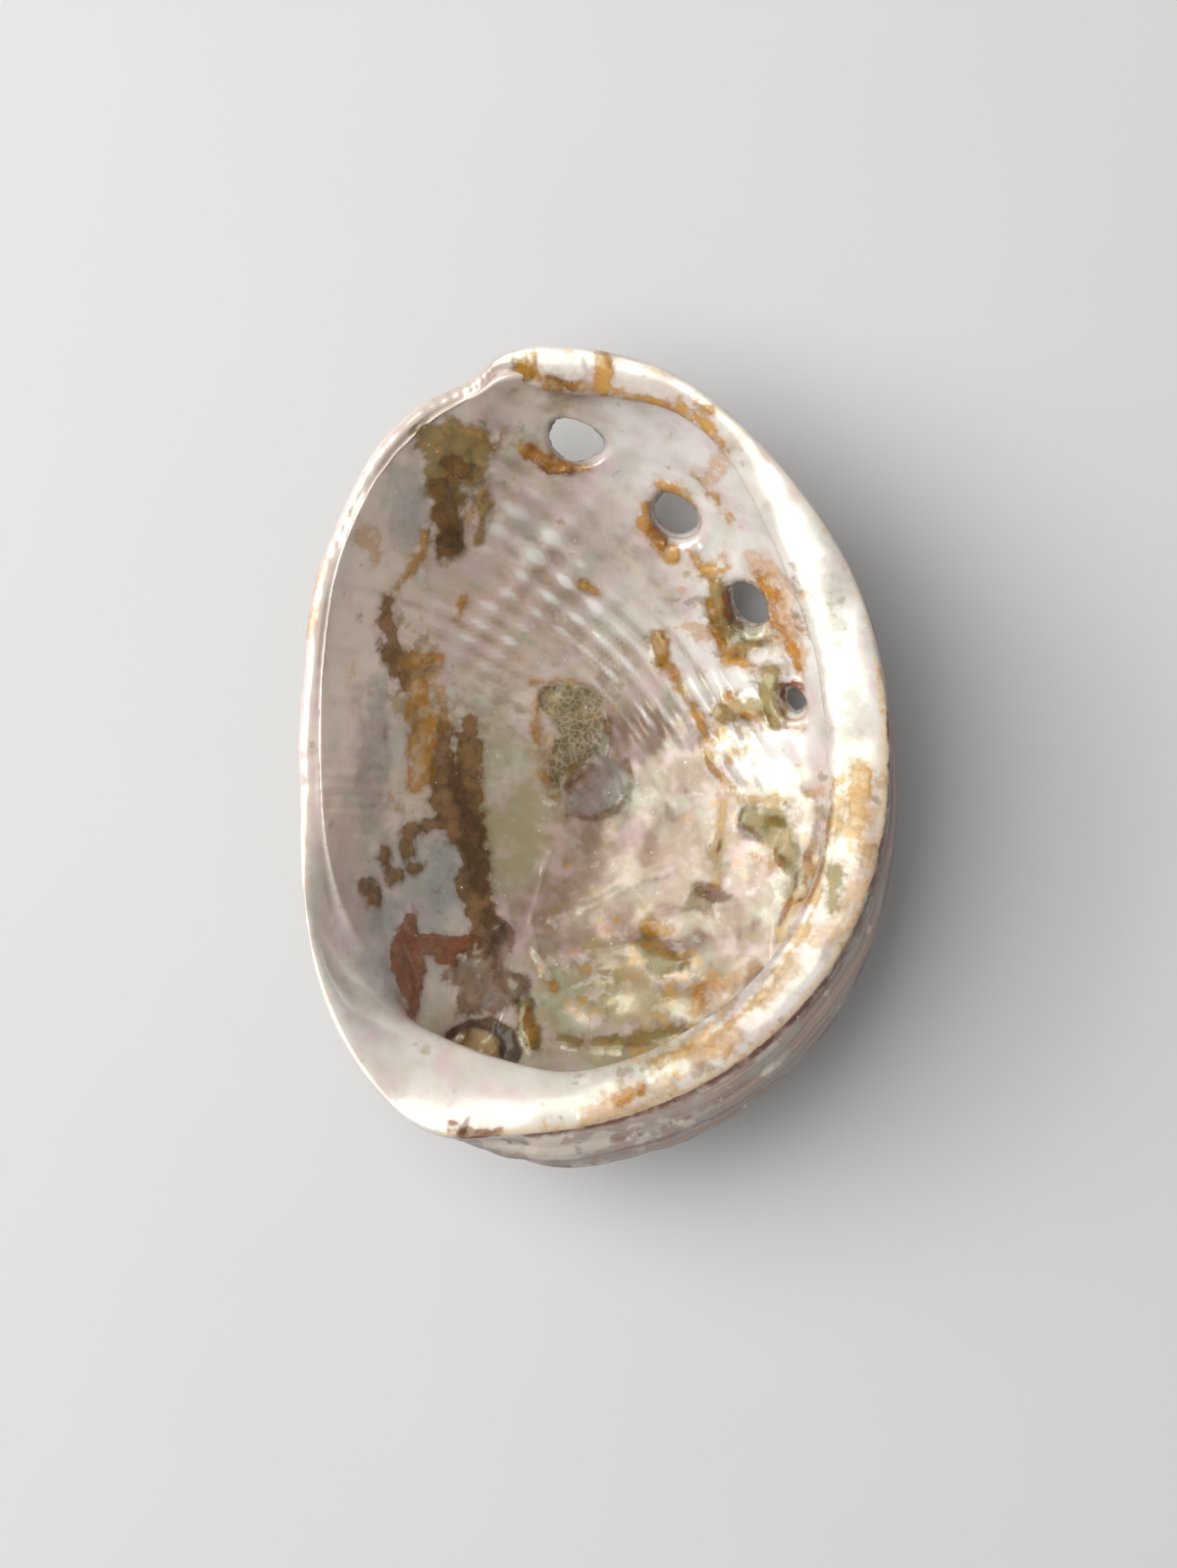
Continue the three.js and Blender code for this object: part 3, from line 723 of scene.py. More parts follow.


# ---- Stains, films and worn places: each point is x, y, half width ----

BOWL_STAINS = {
    # Dull greenish-brown skin over the pearl.
    "olive": [
        [(-20.5, 39, 2.0), (-17.5, 38.5, 3.0), (-15, 38.5, 2.4), (-16, 36, 2.0)],
        [(-14, 33, 0.9), (-14.5, 30, 0.9), (-15, 27.5, 0.5)],
        [(-19.5, 36, 2.3), (-18.8, 31.5, 2.0), (-18.6, 27, 1.9)],
        [(15.5, 21.5, 1.1), (15.5, 18, 1.5), (17, 15, 1.2)],
        [(18.5, 14, 1.3), (20.5, 14.5, 0.9)],
        [(22, 11, 0.9), (22, 8, 1.2), (23.5, 4.5, 0.9)],
        [(17, 6, 1.6), (20.5, 6.5, 1.2)],
        [(8, 14.5, 1.3), (8.5, 12.5, 0.7)],
        [(20.5, -8, 1.8), (23, -9, 2.2), (25, -13, 1.1), (25.5, -17, 0.8)],
        [(6.5, -24, 1.5), (8.5, -26, 1.7), (11, -26.5, 0.8)],
        [(-4, -36, 0.7), (4, -36.5, 0.9), (10.5, -35, 0.6)],
        [(-9, -31.5, 0.5), (-8.5, -35, 1.1), (-8, -37, 0.7)],
    ],
    # Thicker brown film.
    "umber": [
        [(-19.5, 34, 1.2), (-19, 30, 1.7), (-18.5, 26.5, 1.6)],
        [(-18, 36, 1.2), (-16.5, 36, 0.9)],
        [(-26, 19.5, 0.6), (-26.5, 16, 1.0), (-25.5, 12, 1.1), (-24.5, 9, 0.5)],
        [(-16.5, 4, 1.0), (-16.5, 0, 1.9), (-16.5, -6, 1.7), (-16, -12, 1.9), (-15.5, -18, 2.0)],
        [(-20, 4, 0.8), (-19.5, 0, 1.6), (-19.2, -5, 1.8), (-18.2, -10, 1.3)],
        [(-15.5, -18, 2.0), (-14, -22, 2.0), (-15.5, -25, 1.2)],
        [(-24, -12.5, 0.8), (-23.5, -9.5, 0.9), (-21, -8.5, 0.8), (-19, -9, 0.5)],
        [(-23.5, -14, 0.9)],
        [(-27, -12.5, 0.8), (-25.5, -15, 0.9)],
        [(-28.5, -16, 0.8), (-28, -18, 0.6)],
        [(12, -19.5, 0.7), (13.5, -17.5, 1.2), (14, -19, 1.0)],
        [(15.5, -12, 0.7), (15.5, -14.5, 0.6)],
        [(-1, 0.5, 0.3), (-4.5, -3.5, 0.6)],
    ],
    # Reddish brown, the colour of old resin.
    "rust": [
        [(-23.5, -20.5, 0.6), (-24.3, -23.5, 1.8), (-23.7, -27, 1.9), (-23.3, -30, 1.0),
         (-23, -32.3, 0.5)],
        [(-22.5, -24, 1.4), (-19, -24.2, 1.3), (-16, -23.8, 1.0)],
        [(-20, -25.5, 0.9), (-18.5, -26, 0.6)],
        [(-8.5, 38.3, 0.7), (-6, 36.8, 1.0), (-3.5, 36.2, 0.7)],
        [(16.8, 20.5, 0.5), (17, 18, 0.5)],
        # Dark red-brown round and down the smallest hole.
        [(25.2, 8.4, 1.6)],
        [(7, 28.7, 0.8), (8.5, 27.2, 0.7)],
    ],
    # Grainy purplish crust near the pit.
    "crust": [
        [(-17, -27.5, 1.8), (-14, -25.5, 2.4), (-12, -22.5, 1.4)],
        [(-16, -31, 2.0), (-12.5, -29.5, 2.4), (-9.5, -29.5, 1.0)],
    ],
    # Amber and gold skin where old layers come to the surface.
    "gold": [
        [(-14.5, 39.5, 0.3), (-12.5, 38.6, 0.4), (-12, 40, 0.3)],
        [(-21.5, 28, 0.4), (-22, 26, 0.5), (-23.5, 23.5, 0.4), (-26, 20.5, 0.3)],
        [(-24.5, 12, 1.1), (-22, 12, 0.9), (-20.5, 12, 0.7)],
        [(-23, 8.5, 1.6), (-22, 4, 2.1), (-22.3, -0.5, 1.4), (-22.8, -3.5, 1.3)],
        [(-20, 7.5, 0.6), (-19.3, 3.5, 0.6)],
        [(-17, 20.2, 0.3), (-17.6, 18.4, 0.3)],
        [(-2, 21.8, 0.4), (0, 21.5, 0.5)],
        [(-9.5, 38.6, 0.4), (-7, 37.6, 1.0), (-4, 36.7, 0.9), (-1, 36.3, 0.5)],
        [(6.3, 32, 0.5), (6.3, 29, 0.7), (8, 27, 0.7), (10, 25.8, 0.9)],
        [(8, 34.3, 0.5), (10.5, 33.3, 0.6), (11.8, 31.5, 0.8)],
        [(12, 26, 0.4), (13.3, 24.3, 0.6), (15.3, 23.3, 0.6), (16.8, 24.2, 0.4), (16.3, 26, 0.3)],
        [(14.7, 20, 0.5), (15.5, 16, 0.5), (17.5, 12.5, 0.9), (20, 11.7, 0.7)],
        [(8, 15, 1.0), (9, 12.2, 0.7), (10.5, 9.6, 0.4), (12.3, 7, 0.4), (14, 3.5, 0.5)],
        [(14, 3.5, 0.5), (14.7, 0, 0.6), (16.5, -2.7, 0.4), (19, -5.3, 0.4), (25, -5.6, 0.3)],
        [(16.6, -5, 0.3), (16.2, -9, 0.4), (15.4, -13, 0.8), (15.4, -17, 0.3)],
        [(17, 7.2, 1.0), (21, 4.8, 0.7)],
        [(20.5, 23.5, 0.4), (22.3, 20.5, 0.6), (23.2, 17, 0.5), (25, 14.5, 0.5), (25.8, 11.5, 0.4)],
        [(19.5, 22, 0.3), (20.6, 18.5, 0.4)],
        [(12, 35.5, 0.15), (15, 32.5, 0.25), (17.5, 28.5, 0.2)],
        [(7, -21.8, 1.2), (9, -22.3, 1.0)],
        [(20.5, -12.8, 0.4), (22.5, -13.8, 0.5), (23.5, -12.5, 0.3)],
        [(27.5, -13, 0.7), (26, -18, 0.8), (23.5, -23.5, 0.6)],
        [(-8, 9.9, 0.3), (-5, 9.6, 0.4), (-1.5, 9.9, 0.3)],
        [(-7.7, 7, 0.5), (-8, 4, 0.5), (-7.5, -1, 0.2), (-5.5, -5, 0.4)],
        [(-7, -27.8, 0.4), (-5.3, -29.6, 0.5)],
        [(-9, -33, 0.4), (-8.4, -36, 0.7)],
        [(13.5, -30, 0.5), (12.5, -33, 0.6)],
    ],
    # Peach wash, thin enough for the pearl to show.
    "peach": [
        [(20, 25, 1.0), (23, 22, 1.4), (24.3, 17, 1.4), (26, 12.5, 1.1)],
        [(25.5, 6.5, 1.5), (25.5, 4, 1.2)],
        [(-28.5, 27, 1.4), (-27.5, 25, 0.9)],
        [(14, 34, 1.0), (17, 38, 0.8)],
        [(-5.8, 3, 0.5), (-6, -3.5, 0.6)],
        [(19, -27, 1.6), (14, -31.5, 1.6)],
    ],
    # White chalky flakes and clean bright pearl; the short strokes on the upper left wall, low left
    # of the middle and below the scar are painted glints.
    "chalk_and_glint": [
        [(-22, 23.5, 0.3), (-21.7, 21.5, 0.3)],
        [(13.3, 26.3, 0.4), (14, 25.3, 0.4)],
        [(20.5, 12.8, 1.1), (23, 13, 1.0)],
        [(24.3, 4.4, 0.5), (26.5, 4.2, 0.5)],
        [(-3.5, -29.8, 0.3), (0.5, -28.3, 0.4), (2.5, -28.8, 0.25)],
        [(14.4, -30.7, 0.5)],
        [(-8.3, -24.5, 0.2), (-7.2, -26.6, 0.45), (-6.2, -28.3, 0.6)],
        [(-7, -5, 0.3), (-5.2, -6.6, 0.4)],
        [(17.2, -16.3, 0.5)],
        [(-12.5, 38.7, 0.5)],
    ],
    # Thin pale edges of broken layers.
    "thread": [
        [(-6, -12, 0.15), (-7.5, -17, 0.15), (-8.5, -21, 0.15), (-7.7, -25, 0.2)],
        [(-6, -21, 0.2), (0, -19, 0.25), (5, -16.2, 0.25), (11, -14, 0.2)],
        [(-4, -25.6, 0.2), (0, -25, 0.25), (6, -24, 0.2)],
        [(10.8, -20.3, 0.15), (11.3, -18, 0.15), (14.2, -15.7, 0.15)],
        [(11, -20.7, 0.15), (14.7, -20.5, 0.15), (15, -18, 0.15)],
        [(15.5, -19.3, 0.15), (17.5, -18.4, 0.15), (19.4, -19.3, 0.15), (20, -22, 0.12)],
        [(-7.5, -38, 0.2), (-5, -39, 0.2)],
        [(-14.3, 4.5, 0.15), (-14.2, -2, 0.15)],
    ],
    # The bare patch where the muscle held: rough and dull.
    "scar": [
        [(-5.3, 7.3, 2.2), (-2.3, 5.8, 3.2), (-1.5, 2.5, 3.0), (-3.8, 0, 2.2), (-5.3, -3.5, 0.8)],
    ],
    # Grey clean nacre.
    "slate": [
        [(-19.5, -12, 1.7), (-19.5, -17, 2.0), (-21, -19, 1.2)],
        [(-24, 34, 2.2), (-24, 28, 2.0)],
        [(-26.5, -19, 1.5), (-27.5, -25, 1.6), (-25.5, -31, 1.2)],
        [(-28, 9, 1.4), (-28, 0, 2.0), (-28.5, -8, 1.6)],
    ],
    # Violet-grey layers laid bare beside the scar and down the left.
    "violet": [
        [(0.4, 0, 1.8), (2.2, -3.3, 2.2), (-0.5, -5.6, 2.0), (-3, -6.2, 1.0)],
        [(-12, -28, 1.3), (-8.5, -31.5, 0.9)],
    ],
    # Darkest brown, where the film is thickest.
    "peat": [
        [(-18.3, 0, 0.4), (-18, -4, 0.7), (-16.2, -8, 1.2), (-15.7, -13, 1.4), (-15, -17, 1.0)],
        [(-14, -20.5, 1.0), (-12.7, -23, 0.9)],
        [(-18.3, 28, 0.6), (-17.8, 26.3, 0.7)],
        [(1.6, 4.8, 0.5), (1.2, 1.6, 0.3), (-1.3, -2, 0.25), (-4.3, -3.8, 0.3)],
        [(3.6, 0.5, 0.2), (4.8, -3.5, 0.25), (3, -6.8, 0.3), (-0.5, -8, 0.25), (-4, -7.5, 0.2)],
        [(17.4, 17.3, 0.5), (19.3, 15.2, 0.4)],
    ],
    # Dark dirt packed in hollows; round the pit it is also painted shade, a dark ring.
    "dirt_and_shade": [
        [(-18.6, -35.3, 0.5), (-16.3, -34, 0.6), (-13.4, -34, 0.9), (-11.6, -35.6, 1.4),
         (-10.9, -37.6, 1.4)],
    ],
    # The tan floor of the pit.
    "bead": [
        [(-16.1, -36.2, 1.8), (-14.2, -37.3, 2.1)],
    ],
}

SHELF_STAINS = {
    "olive": [
        [(-9.7, 48.3, 0.7), (-8.8, 47, 1.0)],
        [(29, -14, 1.1), (28.7, -18, 0.9)],
    ],
    "umber": [[(-5.5, 46, 0.4), (-3, 45.2, 0.5)]],
    "gold": [
        [(-9, 48, 0.9), (-8.5, 47, 0.8)],
        [(-7.7, 49, 0.35), (-8, 47.8, 0.35), (-7, 46.2, 0.35)],
        [(0.5, 48.3, 1.0), (1, 45.3, 1.2)],
        [(-6, 45.5, 0.5), (0, 45, 0.5), (5, 44, 0.7), (10, 42.6, 0.6), (14, 39.8, 0.5),
         (16, 37, 0.4)],
        [(12, 43, 0.4), (14, 42, 0.4)],
        [(32, -1.5, 1.2), (32, -4.5, 1.4), (31.7, -8.5, 1.0)],
        [(29.5, -3, 0.4), (29, -9, 0.5), (27.5, -16, 0.6), (25.5, -21, 0.6), (22, -27, 0.5)],
        [(22, -27, 0.5), (18, -31.5, 0.5), (13, -35.3, 0.5), (7, -37.5, 0.3)],
        [(2.5, -41.5, 0.9), (5.5, -40.3, 0.7)],
    ],
    "peach": [
        [(-34.5, 24, 0.6), (-35.2, 20, 0.7), (-35.5, 15, 0.6)],
        [(33.2, -6, 1.0), (33, -13, 1.0), (30.5, -19.5, 1.4), (27, -23, 1.0)],
        [(-4, 43.5, 0.8), (-9, 44, 1.0), (-12, 44.5, 0.8)],
        [(17, -34, 1.0), (12, -37, 1.0)],
        [(-1, -43.5, 1.1), (4, -42, 1.3), (9, -40, 0.8)],
        [(20, -30, 0.9), (24, -26, 0.8)],
    ],
    "chalk_and_glint": [
        [(-5, 48.3, 1.5), (-3, 47.5, 1.6)],
        # A painted glare spot on the shelf at the back left.
        [(-21.5, -42.5, 1.0), (-19, -43.5, 1.1)],
        [(22, -31, 1.0), (27, -25.5, 0.9)],
    ],
    "slate": [
        [(28.5, 26.5, 1.0), (29, 21, 1.7), (29.5, 16, 1.0)],
        [(31, 8, 1.6), (31.5, 2.5, 1.4)],
    ],
    "rust": [[(-17.6, -45, 0.6), (-16, -45.7, 1.0), (-14.6, -46, 0.8), (-12, -45.7, 0.5)]],
    # Dark along the crack on the shelf near the spire.
    "dirt_and_shade": [[(-17, -45.2, 0.1), (-16, -45.8, 0.35), (-14.8, -46, 0.2), (-13.3, -45.9, 0.05)]],
}


def stain_depths(places):
    """Each finish's depth in millimetres at each vertex, bowl and shelf kept apart."""
    depths = {}
    for name, strokes in BOWL_STAINS.items():
        bowl = stroke_depth(places.x, places.y, strokes)
        shelf = stroke_depth(places.x, places.y, SHELF_STAINS.get(name, []))
        in_bowl = (places.layer > SHELF_TOP) | (places.edge > places.rim["shelf"] + 3)
        depths[name] = np.where(in_bowl, bowl, shelf)
        depths[name] = np.where(places.layer > SKIN_TOP, depths[name], -FAR_OFF)
    return depths


# ---- Broad tones of the pearl, each a sum of soft round patches: x, y, radius, share ----

TONES = {
    # Bright, clean pearl; the patches high on the right, by the holes and down the right wall, are
    # painted glare.
    "pale": [(20, 33, 13, 1.0), (24, 14, 9, 0.9), (19.5, 1, 5, 0.7), (6, 42, 8, 0.8),
             (25, 2, 6, 0.6), (14, 12, 8, 0.45), (2, 18, 6, 0.3), (-12, -3, 4, 0.3),
             (-8, 27, 8, 0.4), (21, -12, 8, 0.3)],
    # Light warm pink of the thin left wall, lightened as painted light on a wall that faces away
    # from the lamps.
    "blush_and_light": [(-33, 24, 9, 0.9), (-34, 8, 9, 0.9), (-34, -8, 9, 0.8), (-27, 37, 7, 0.7),
              (-29, 16, 8, 0.6), (-32, -24, 7, 0.5), (-15, 44, 6, 0.6)],
    # Warm, duller floor low on the right, and under the crossing waves; low on the right it is also
    # painted shade, darkened where the lamps' highlight falls.
    "tan": [(6, -10, 13, 1.2), (16, -21, 12, 1.1), (0, -22, 9, 0.8), (11, 0, 7, 0.6),
            (2, -3, 8, 0.8), (5, -30, 11, 0.9), (22, -12, 8, 0.7), (-9, -14, 8, 0.5),
            (-8, 24, 14, 0.8)],
    # Pinkish beige; its two patches on the left wall also lighten it as painted light.
    "rosy": [(-31, 22, 11, 0.7), (-31, 4, 9, 0.6), (8, -17, 9, 0.3), (-10, 28, 10, 0.5),
             (-14, 15, 9, 0.6), (0, -22, 8, 0.3)],
    # Greenish beige.
    "mossy": [(-2, -33, 9, 0.9), (-11, -10, 8, 1.1), (-11, -1, 5, 0.5), (9, -34, 7, 0.6),
              (-13, 6, 5, 0.3), (22, -12, 6, 0.4)],
    # Blue grey.
    "cool": [(-28, -25, 9, 0.9), (-27, 3, 6, 0.8), (-24, 31, 5, 0.8), (-20, -15, 6, 0.8),
             (2, -5, 4, 0.5), (7, 23, 7, 0.25), (-29, -14, 7, 0.6)],
}

# Where scraps of broken layers lie thick: x, y, radius.
LAYERED = [(23, -11, 8), (16, 18, 5), (24, 16, 5), (3, -29, 9), (-17, 34, 5), (-22, 6, 4),
          (18, 3, 6), (32, -6, 4), (-24, 12, 5), (12, -33, 7)]


def tone_shares(places):
    """Each broad tone's share, 0 to 1, at each vertex of the inside."""
    shares = {}
    for name, patches in TONES.items():
        total = sum(share * places.bell(x, y, radius) for x, y, radius, share in patches)
        shares[name] = np.clip(total, 0, 1)
    return shares


# ---- Fine relief: how far each vertex stands out along its normal, in millimetres ----

def pearl_waves(places):
    """Cords and folds of the pearl, -1 to 1: cosines of the spiral coordinates, their
    lines made to wander by slow noise."""
    wander = 0.16 * ripple_noise(places.points, 16, 11)
    cords = np.cos(2 * np.pi * (places.cord / CORD_SPACING + wander))
    wander = 0.2 * ripple_noise(places.points, 14, 12)
    folds = np.cos(2 * np.pi * (places.growth / GROWTH_SPACING + wander))
    return cords, folds


def fold_share(places):
    """The folds cross the cords in the upper left of the bowl only."""
    return np.maximum(places.bell(-8, 26, 13), 0.6 * places.bell(-15, 14, 12))


def wave_strength(places):
    """The waves show most from the middle of the bowl up towards the holes, and are
    smoothed away low on the right and beside the first holes."""
    patches = [
        places.bell(-8, 25, 11),
        0.6 * places.bell(-15, 14, 10),
        0.8 * places.bell(3, 15, 10),
        places.bell(11, 8, 10),
    ]
    strength = 0.15 + 0.85 * np.max(patches, axis=0)
    fitful = 0.7 + 0.4 * ripple_noise(places.points, 7, 18)
    low_right = 1 - 0.6 * places.bell(5, -16, 12)
    by_the_holes = 1 - places.bell(14, 32, 15)
    return strength * fitful * low_right * by_the_holes


# How far each film stands proud of the pearl, before FILM_RELIEF.
FILM_THICKNESS = {
    "olive": 0.16,
    "umber": 0.12,
    "rust": 0.16,
    "gold": 0.1,
    "crust": 0.2,
    "chalk_and_glint": 0.12,
    "thread": 0.12,
    "bead": 0.5,
}
FILM_RELIEF = 1.4
FILLED_DIMPLES = 7  # holes of the row, open and filled, that still show inside


def film_relief(places, depths):
    """Each film's thickness, from nought to full over half a millimetre at its edge, with
    a soft lumpy top."""
    lumps = 1 + 0.8 * ripple_noise(places.points, 1.8, 15)
    return sum(FILM_RELIEF * thickness * smooth(depths[name] / 0.5 + 0.5) * lumps
               for name, thickness in FILM_THICKNESS.items())


def bowl_relief(places, depths):
    """Waves, slow hills and fine hills, with crusts standing proud and the scar sunk."""
    cords, folds = pearl_waves(places)
    strength = wave_strength(places)
    height = strength * (0.3 * cords + 0.3 * folds * fold_share(places))
    height += 0.16 * ripple_noise(places.points, 7, 13)
    height += 0.04 * ripple_noise(places.points, 2.2, 14)
    facets = np.maximum(places.bell(20, 8, 17), places.bell(21, -12, 11))
    height += 0.17 * facets * ripple_noise(places.points, 2.6, 19)
    height += 0.14 * places.bell(2, -29, 13) * ripple_noise(places.points, 2.4, 20)
    height += film_relief(places, depths)
    scar = smooth(depths["scar"] / 0.8 + 0.3)
    height += scar * (-0.35 + 0.13 * ripple_noise(places.points, 1.5, 16))
    crust = smooth(depths["crust"] / 0.8 + 0.3)
    height += crust * 0.1 * ripple_noise(places.points, 1.4, 17)
    for number in range(len(HOLES), FILLED_DIMPLES):
        x, y = row_point(number)
        height -= 0.5 * places.bell(x, y, 1.5)
    return height


def shelf_relief(places, depths):
    """The flat lip is softly uneven, flaked where old layers end, and cracked near the
    spire, where the outer coil meets the lip. Where it is narrow its crest is beaded."""
    height = 0.14 * ripple_noise(places.points, 8, 21)
    height += 0.04 * ripple_noise(places.points, 2.6, 22)
    for name in ("gold", "peach", "chalk_and_glint", "olive"):
        height += 0.1 * smooth(depths[name] / 0.4 + 0.5)
    height -= 0.9 * smooth(depths["dirt_and_shade"] / 0.6 + 0.3)
    around = turn_of(places.points[:, :2] - POLE) * RIM_LENGTH
    wander = 1.2 * ripple_noise(places.points, 9, 23)
    beads = np.cos(2 * np.pi * around / BEAD_SPACING + wander)
    narrow = 1 - smooth(places.rim["shelf"] / 3)
    fitful = 0.5 + 0.5 * ripple_noise(places.points, 5, 24)
    height += 0.07 * beads * fitful * narrow * hump(places.edge - 0.6, 0.9)
    height += 0.1 * narrow * ripple_noise(places.points, 2.4, 25) * hump(places.edge - 0.4, 1.2)
    return height


def suture_relief(places):
    """The spire's seam: a groove on a log spiral about the spread-out tip, once round for
    each coil, with the coils swelling between its turns."""
    dx, dy = places.spread[:, 0] - SUTURE_TIP[0], places.spread[:, 1] - SUTURE_TIP[1]
    far = np.hypot(dx, dy) + 0.3
    coil = SUTURE_GROWTH * 2 * np.pi
    turned = SUTURE_GROWTH * (np.arctan2(dy, dx) - SUTURE_ANGLE)
    turns = (np.log(far / SUTURE_START) - turned) / coil
    off = turns - np.round(turns)
    near = 1 - smooth((far - 20) / 8)
    groove = -0.9 * hump(off * coil * far, 0.9 + 0.03 * far) * smooth(far / 3)
    return near * (groove - 0.35 * np.cos(2 * np.pi * off) * smooth(far / 6))


def walled(places):
    """1 on the steep side of the outside, 0 where it slopes, by the lean of the rim."""
    steep = smooth((places.rim["lean"] - math.radians(70)) / math.radians(30))
    return steep * smooth((places.z - 4) / 8)


# Spacing and height of each size of line on the back: growth lines where it slopes, in
# shares of GROWTH_TURN; strata where it is steep, in millimetres; and cords.
BACK_GROWTH = ((0.07, 0.1), (0.027, 0.06), (0.012, 0.03))
BACK_STRATA = ((4.2, 0.16), (1.7, 0.08))
BACK_CORDS = ((CORD_SPACING, 0.16), (CORD_SPACING / 3, 0.09))


def back_relief(places, knobs):
    """Growth lines in three sizes, low cords, slow hills, the spire's seam, and the row:
    open holes have raised rims and filled ones are knobs with a dimple."""
    wander = 0.4 * ripple_noise(places.points, 10, 31)
    height = 0.15 * ripple_noise(places.points, 6, 32)
    height += 0.05 * ripple_noise(places.points, 2.2, 33)
    slope = 1 - walled(places)
    for spacing, size in BACK_GROWTH:
        height += slope * size * np.cos(2 * np.pi * (places.growth / spacing + wander))
    strata = places.edge + 0.8 * ripple_noise(places.points, 12, 34)
    for spacing, size in BACK_STRATA:
        height += (1 - slope) * size * np.cos(2 * np.pi * strata / spacing)
    for spacing, size in BACK_CORDS:
        size = size * (0.2 + 0.8 * slope)
        height += size * np.cos(2 * np.pi * (places.cord / spacing + wander))
    height += suture_relief(places)
    for number, knob in enumerate(knobs):
        away = np.linalg.norm(places.points - knob, axis=1)
        if number < len(HOLES):
            height += 0.7 * hump(away - HOLES[number, 0] - 0.6, 1.1)
        else:
            size = 1 - 0.05 * number
            height += size * (1.9 * hump(away, 2.6) - 1.2 * hump(away, 1.0))
    worn = smooth((places.z - 0.6) / 2.5)
    return height * worn * smooth((-places.edge - 0.3) / 1.5)


def relieved(skin, places, depths, strength):
    """The skin's points moved out along their normals by the relief of their side."""
    height = places.bowl * bowl_relief(places, depths)
    height += places.shelf * shelf_relief(places, depths)
    height += places.outer * back_relief(places, skin.knobs)
    return skin.points + skin.normals() * (strength * height)[:, None]


def seated(points):
    """Points worn flat where the back rests, then drawn in by a hair on each axis so that
    they fill the solid's box and no more, in metres. Also returns the shift."""
    points = points.copy()
    points[:, 2] = np.maximum(points[:, 2], 0)
    low, high = points.min(0), points.max(0)
    box_low, box_high = (np.array(corner) / MM for corner in SHELL_BOX)
    scale = np.minimum((box_high - box_low) / (high - low), 1)
    middle = (low + high) / 2
    middle[2] = 0
    home = (box_low + box_high) / 2
    home[2] = 0
    return ((points - middle) * scale + home) * MM, home - middle


# ---- Materials ----

def add_node(tree, kind, inputs=(), output=0, **settings):
    """Adds a node with its settings and fills its inputs: a socket is linked, and any
    other value is set. Returns one of its outputs."""
    node = tree.nodes.new("ShaderNode" + kind)
    for name, value in settings.items():
        setattr(node, name, value)
    for key, value in dict(inputs).items():
        if isinstance(value, bpy.types.NodeSocket):
            tree.links.new(value, node.inputs[key])
        else:
            node.inputs[key].default_value = value
    return node.outputs[output] if node.outputs else None


def bare_material(name):
    """A material with an empty node tree."""
    material = bpy.data.materials.new(name)
    material.use_nodes = True
    material.node_tree.nodes.clear()
    return material


# Settings of the mix nodes, for numbers and for colours that are mixed or multiplied.
# A mix node's inputs go by number: 0 is the share, 2 and 3 are the numbers to mix, and
# 6 and 7 the colours.
NUMBERS = {"data_type": "FLOAT"}
COLOURS = {"data_type": "RGBA", "output": 2}
MULTIPLIED = {"blend_type": "MULTIPLY", **COLOURS}

# Each film over the pearl: how far its edge wanders and how soft the edge is, both in
# millimetres; how much of the pearl it hides; its roughness; how much of its colour
# spreads thinly round it; and the second colour that flecks it.
FILMS = {
    "slate": (1.2, 1.6, 0.5, 0.3, 0.0, "cool"),
    "violet": (0.8, 0.5, 0.75, 0.3, 0.0, "slate"),
    "peach": (1.0, 1.0, 0.65, 0.34, 0.3, "pale"),
    "scar": (0.8, 0.3, 0.9, 0.6, 0.1, "olive"),
    "olive": (1.2, 0.9, 0.8, 0.36, 0.5, "gold"),
    "umber": (1.0, 0.5, 0.9, 0.4, 0.5, "peat"),
    "peat": (0.9, 0.9, 0.85, 0.4, 0.35, "umber"),
    "crust": (1.2, 0.9, 0.85, 0.45, 0.3, "violet"),
    "rust": (0.6, 0.4, 0.9, 0.38, 0.3, "umber"),
    # Gold's cream flecks are painted glints on the amber film.
    "gold": (0.9, 0.7, 0.85, 0.24, 0.4, "cream"),
    "chalk_and_glint": (0.5, 0.4, 0.75, 0.25, 0.0, "pale"),
    "thread": (0.1, 0.5, 0.55, 0.3, 0.0, "pale"),
    "dirt_and_shade": (0.3, 0.5, 0.95, 0.6, 0.3, "peat"),
    "bead": (0.1, 0.4, 0.95, 0.3, 0.0, "gold"),
    "cream": (0.4, 0.5, 0.8, 0.4, 0.0, "gold"),
    "redline": (0.35, 0.3, 0.9, 0.5, 0.0, "skin"),
}
HALO = 1.2  # millimetres that a film's thin margin reaches
RIND = 0.7  # width of the darker edge of a thick film
THICK = 0.2  # films that spread more than this are thick enough to have such an edge
GLAZE = 0.55  # how much of a film lets the pearl show through, as a glaze does

# Scraps of broken layers: size of the patches in millimetres, colour, and how much of
# the pearl they hide.
SCRAPS = ((4.2, "olive", 0.5), (3.0, "gold", 0.5), (2.4, "pale", 0.22), (3.6, "shade", 0.6))

# Cloudy patterns, about 0.3 to 0.7: size of the patches in millimetres, detail, and how
# far the pattern is moved off, so that no two match.
PATTERNS = {
    "worn_edge": (2.4, 4, 0),
    "grime": (0.9, 3, 9),
    "mottle": (5.0, 3, 0),
    "speck": (1.9, 4, 2),
    "pink": (4.5, 2, 3),
    "green": (5.5, 2, 7),
    "worn": (3.2, 4, 0),
    "fleck": (1.4, 4, 5),
    "grain": (0.6, 1, 0),
}

# Coordinates and shares, besides the films' depths and the tones, that the paint reads
# from the mesh.
PLACE_FIELDS = (
    "cord", "growth", "edge", "crest", "drawn_out", "layered", "outside", "walled", "wear",
)


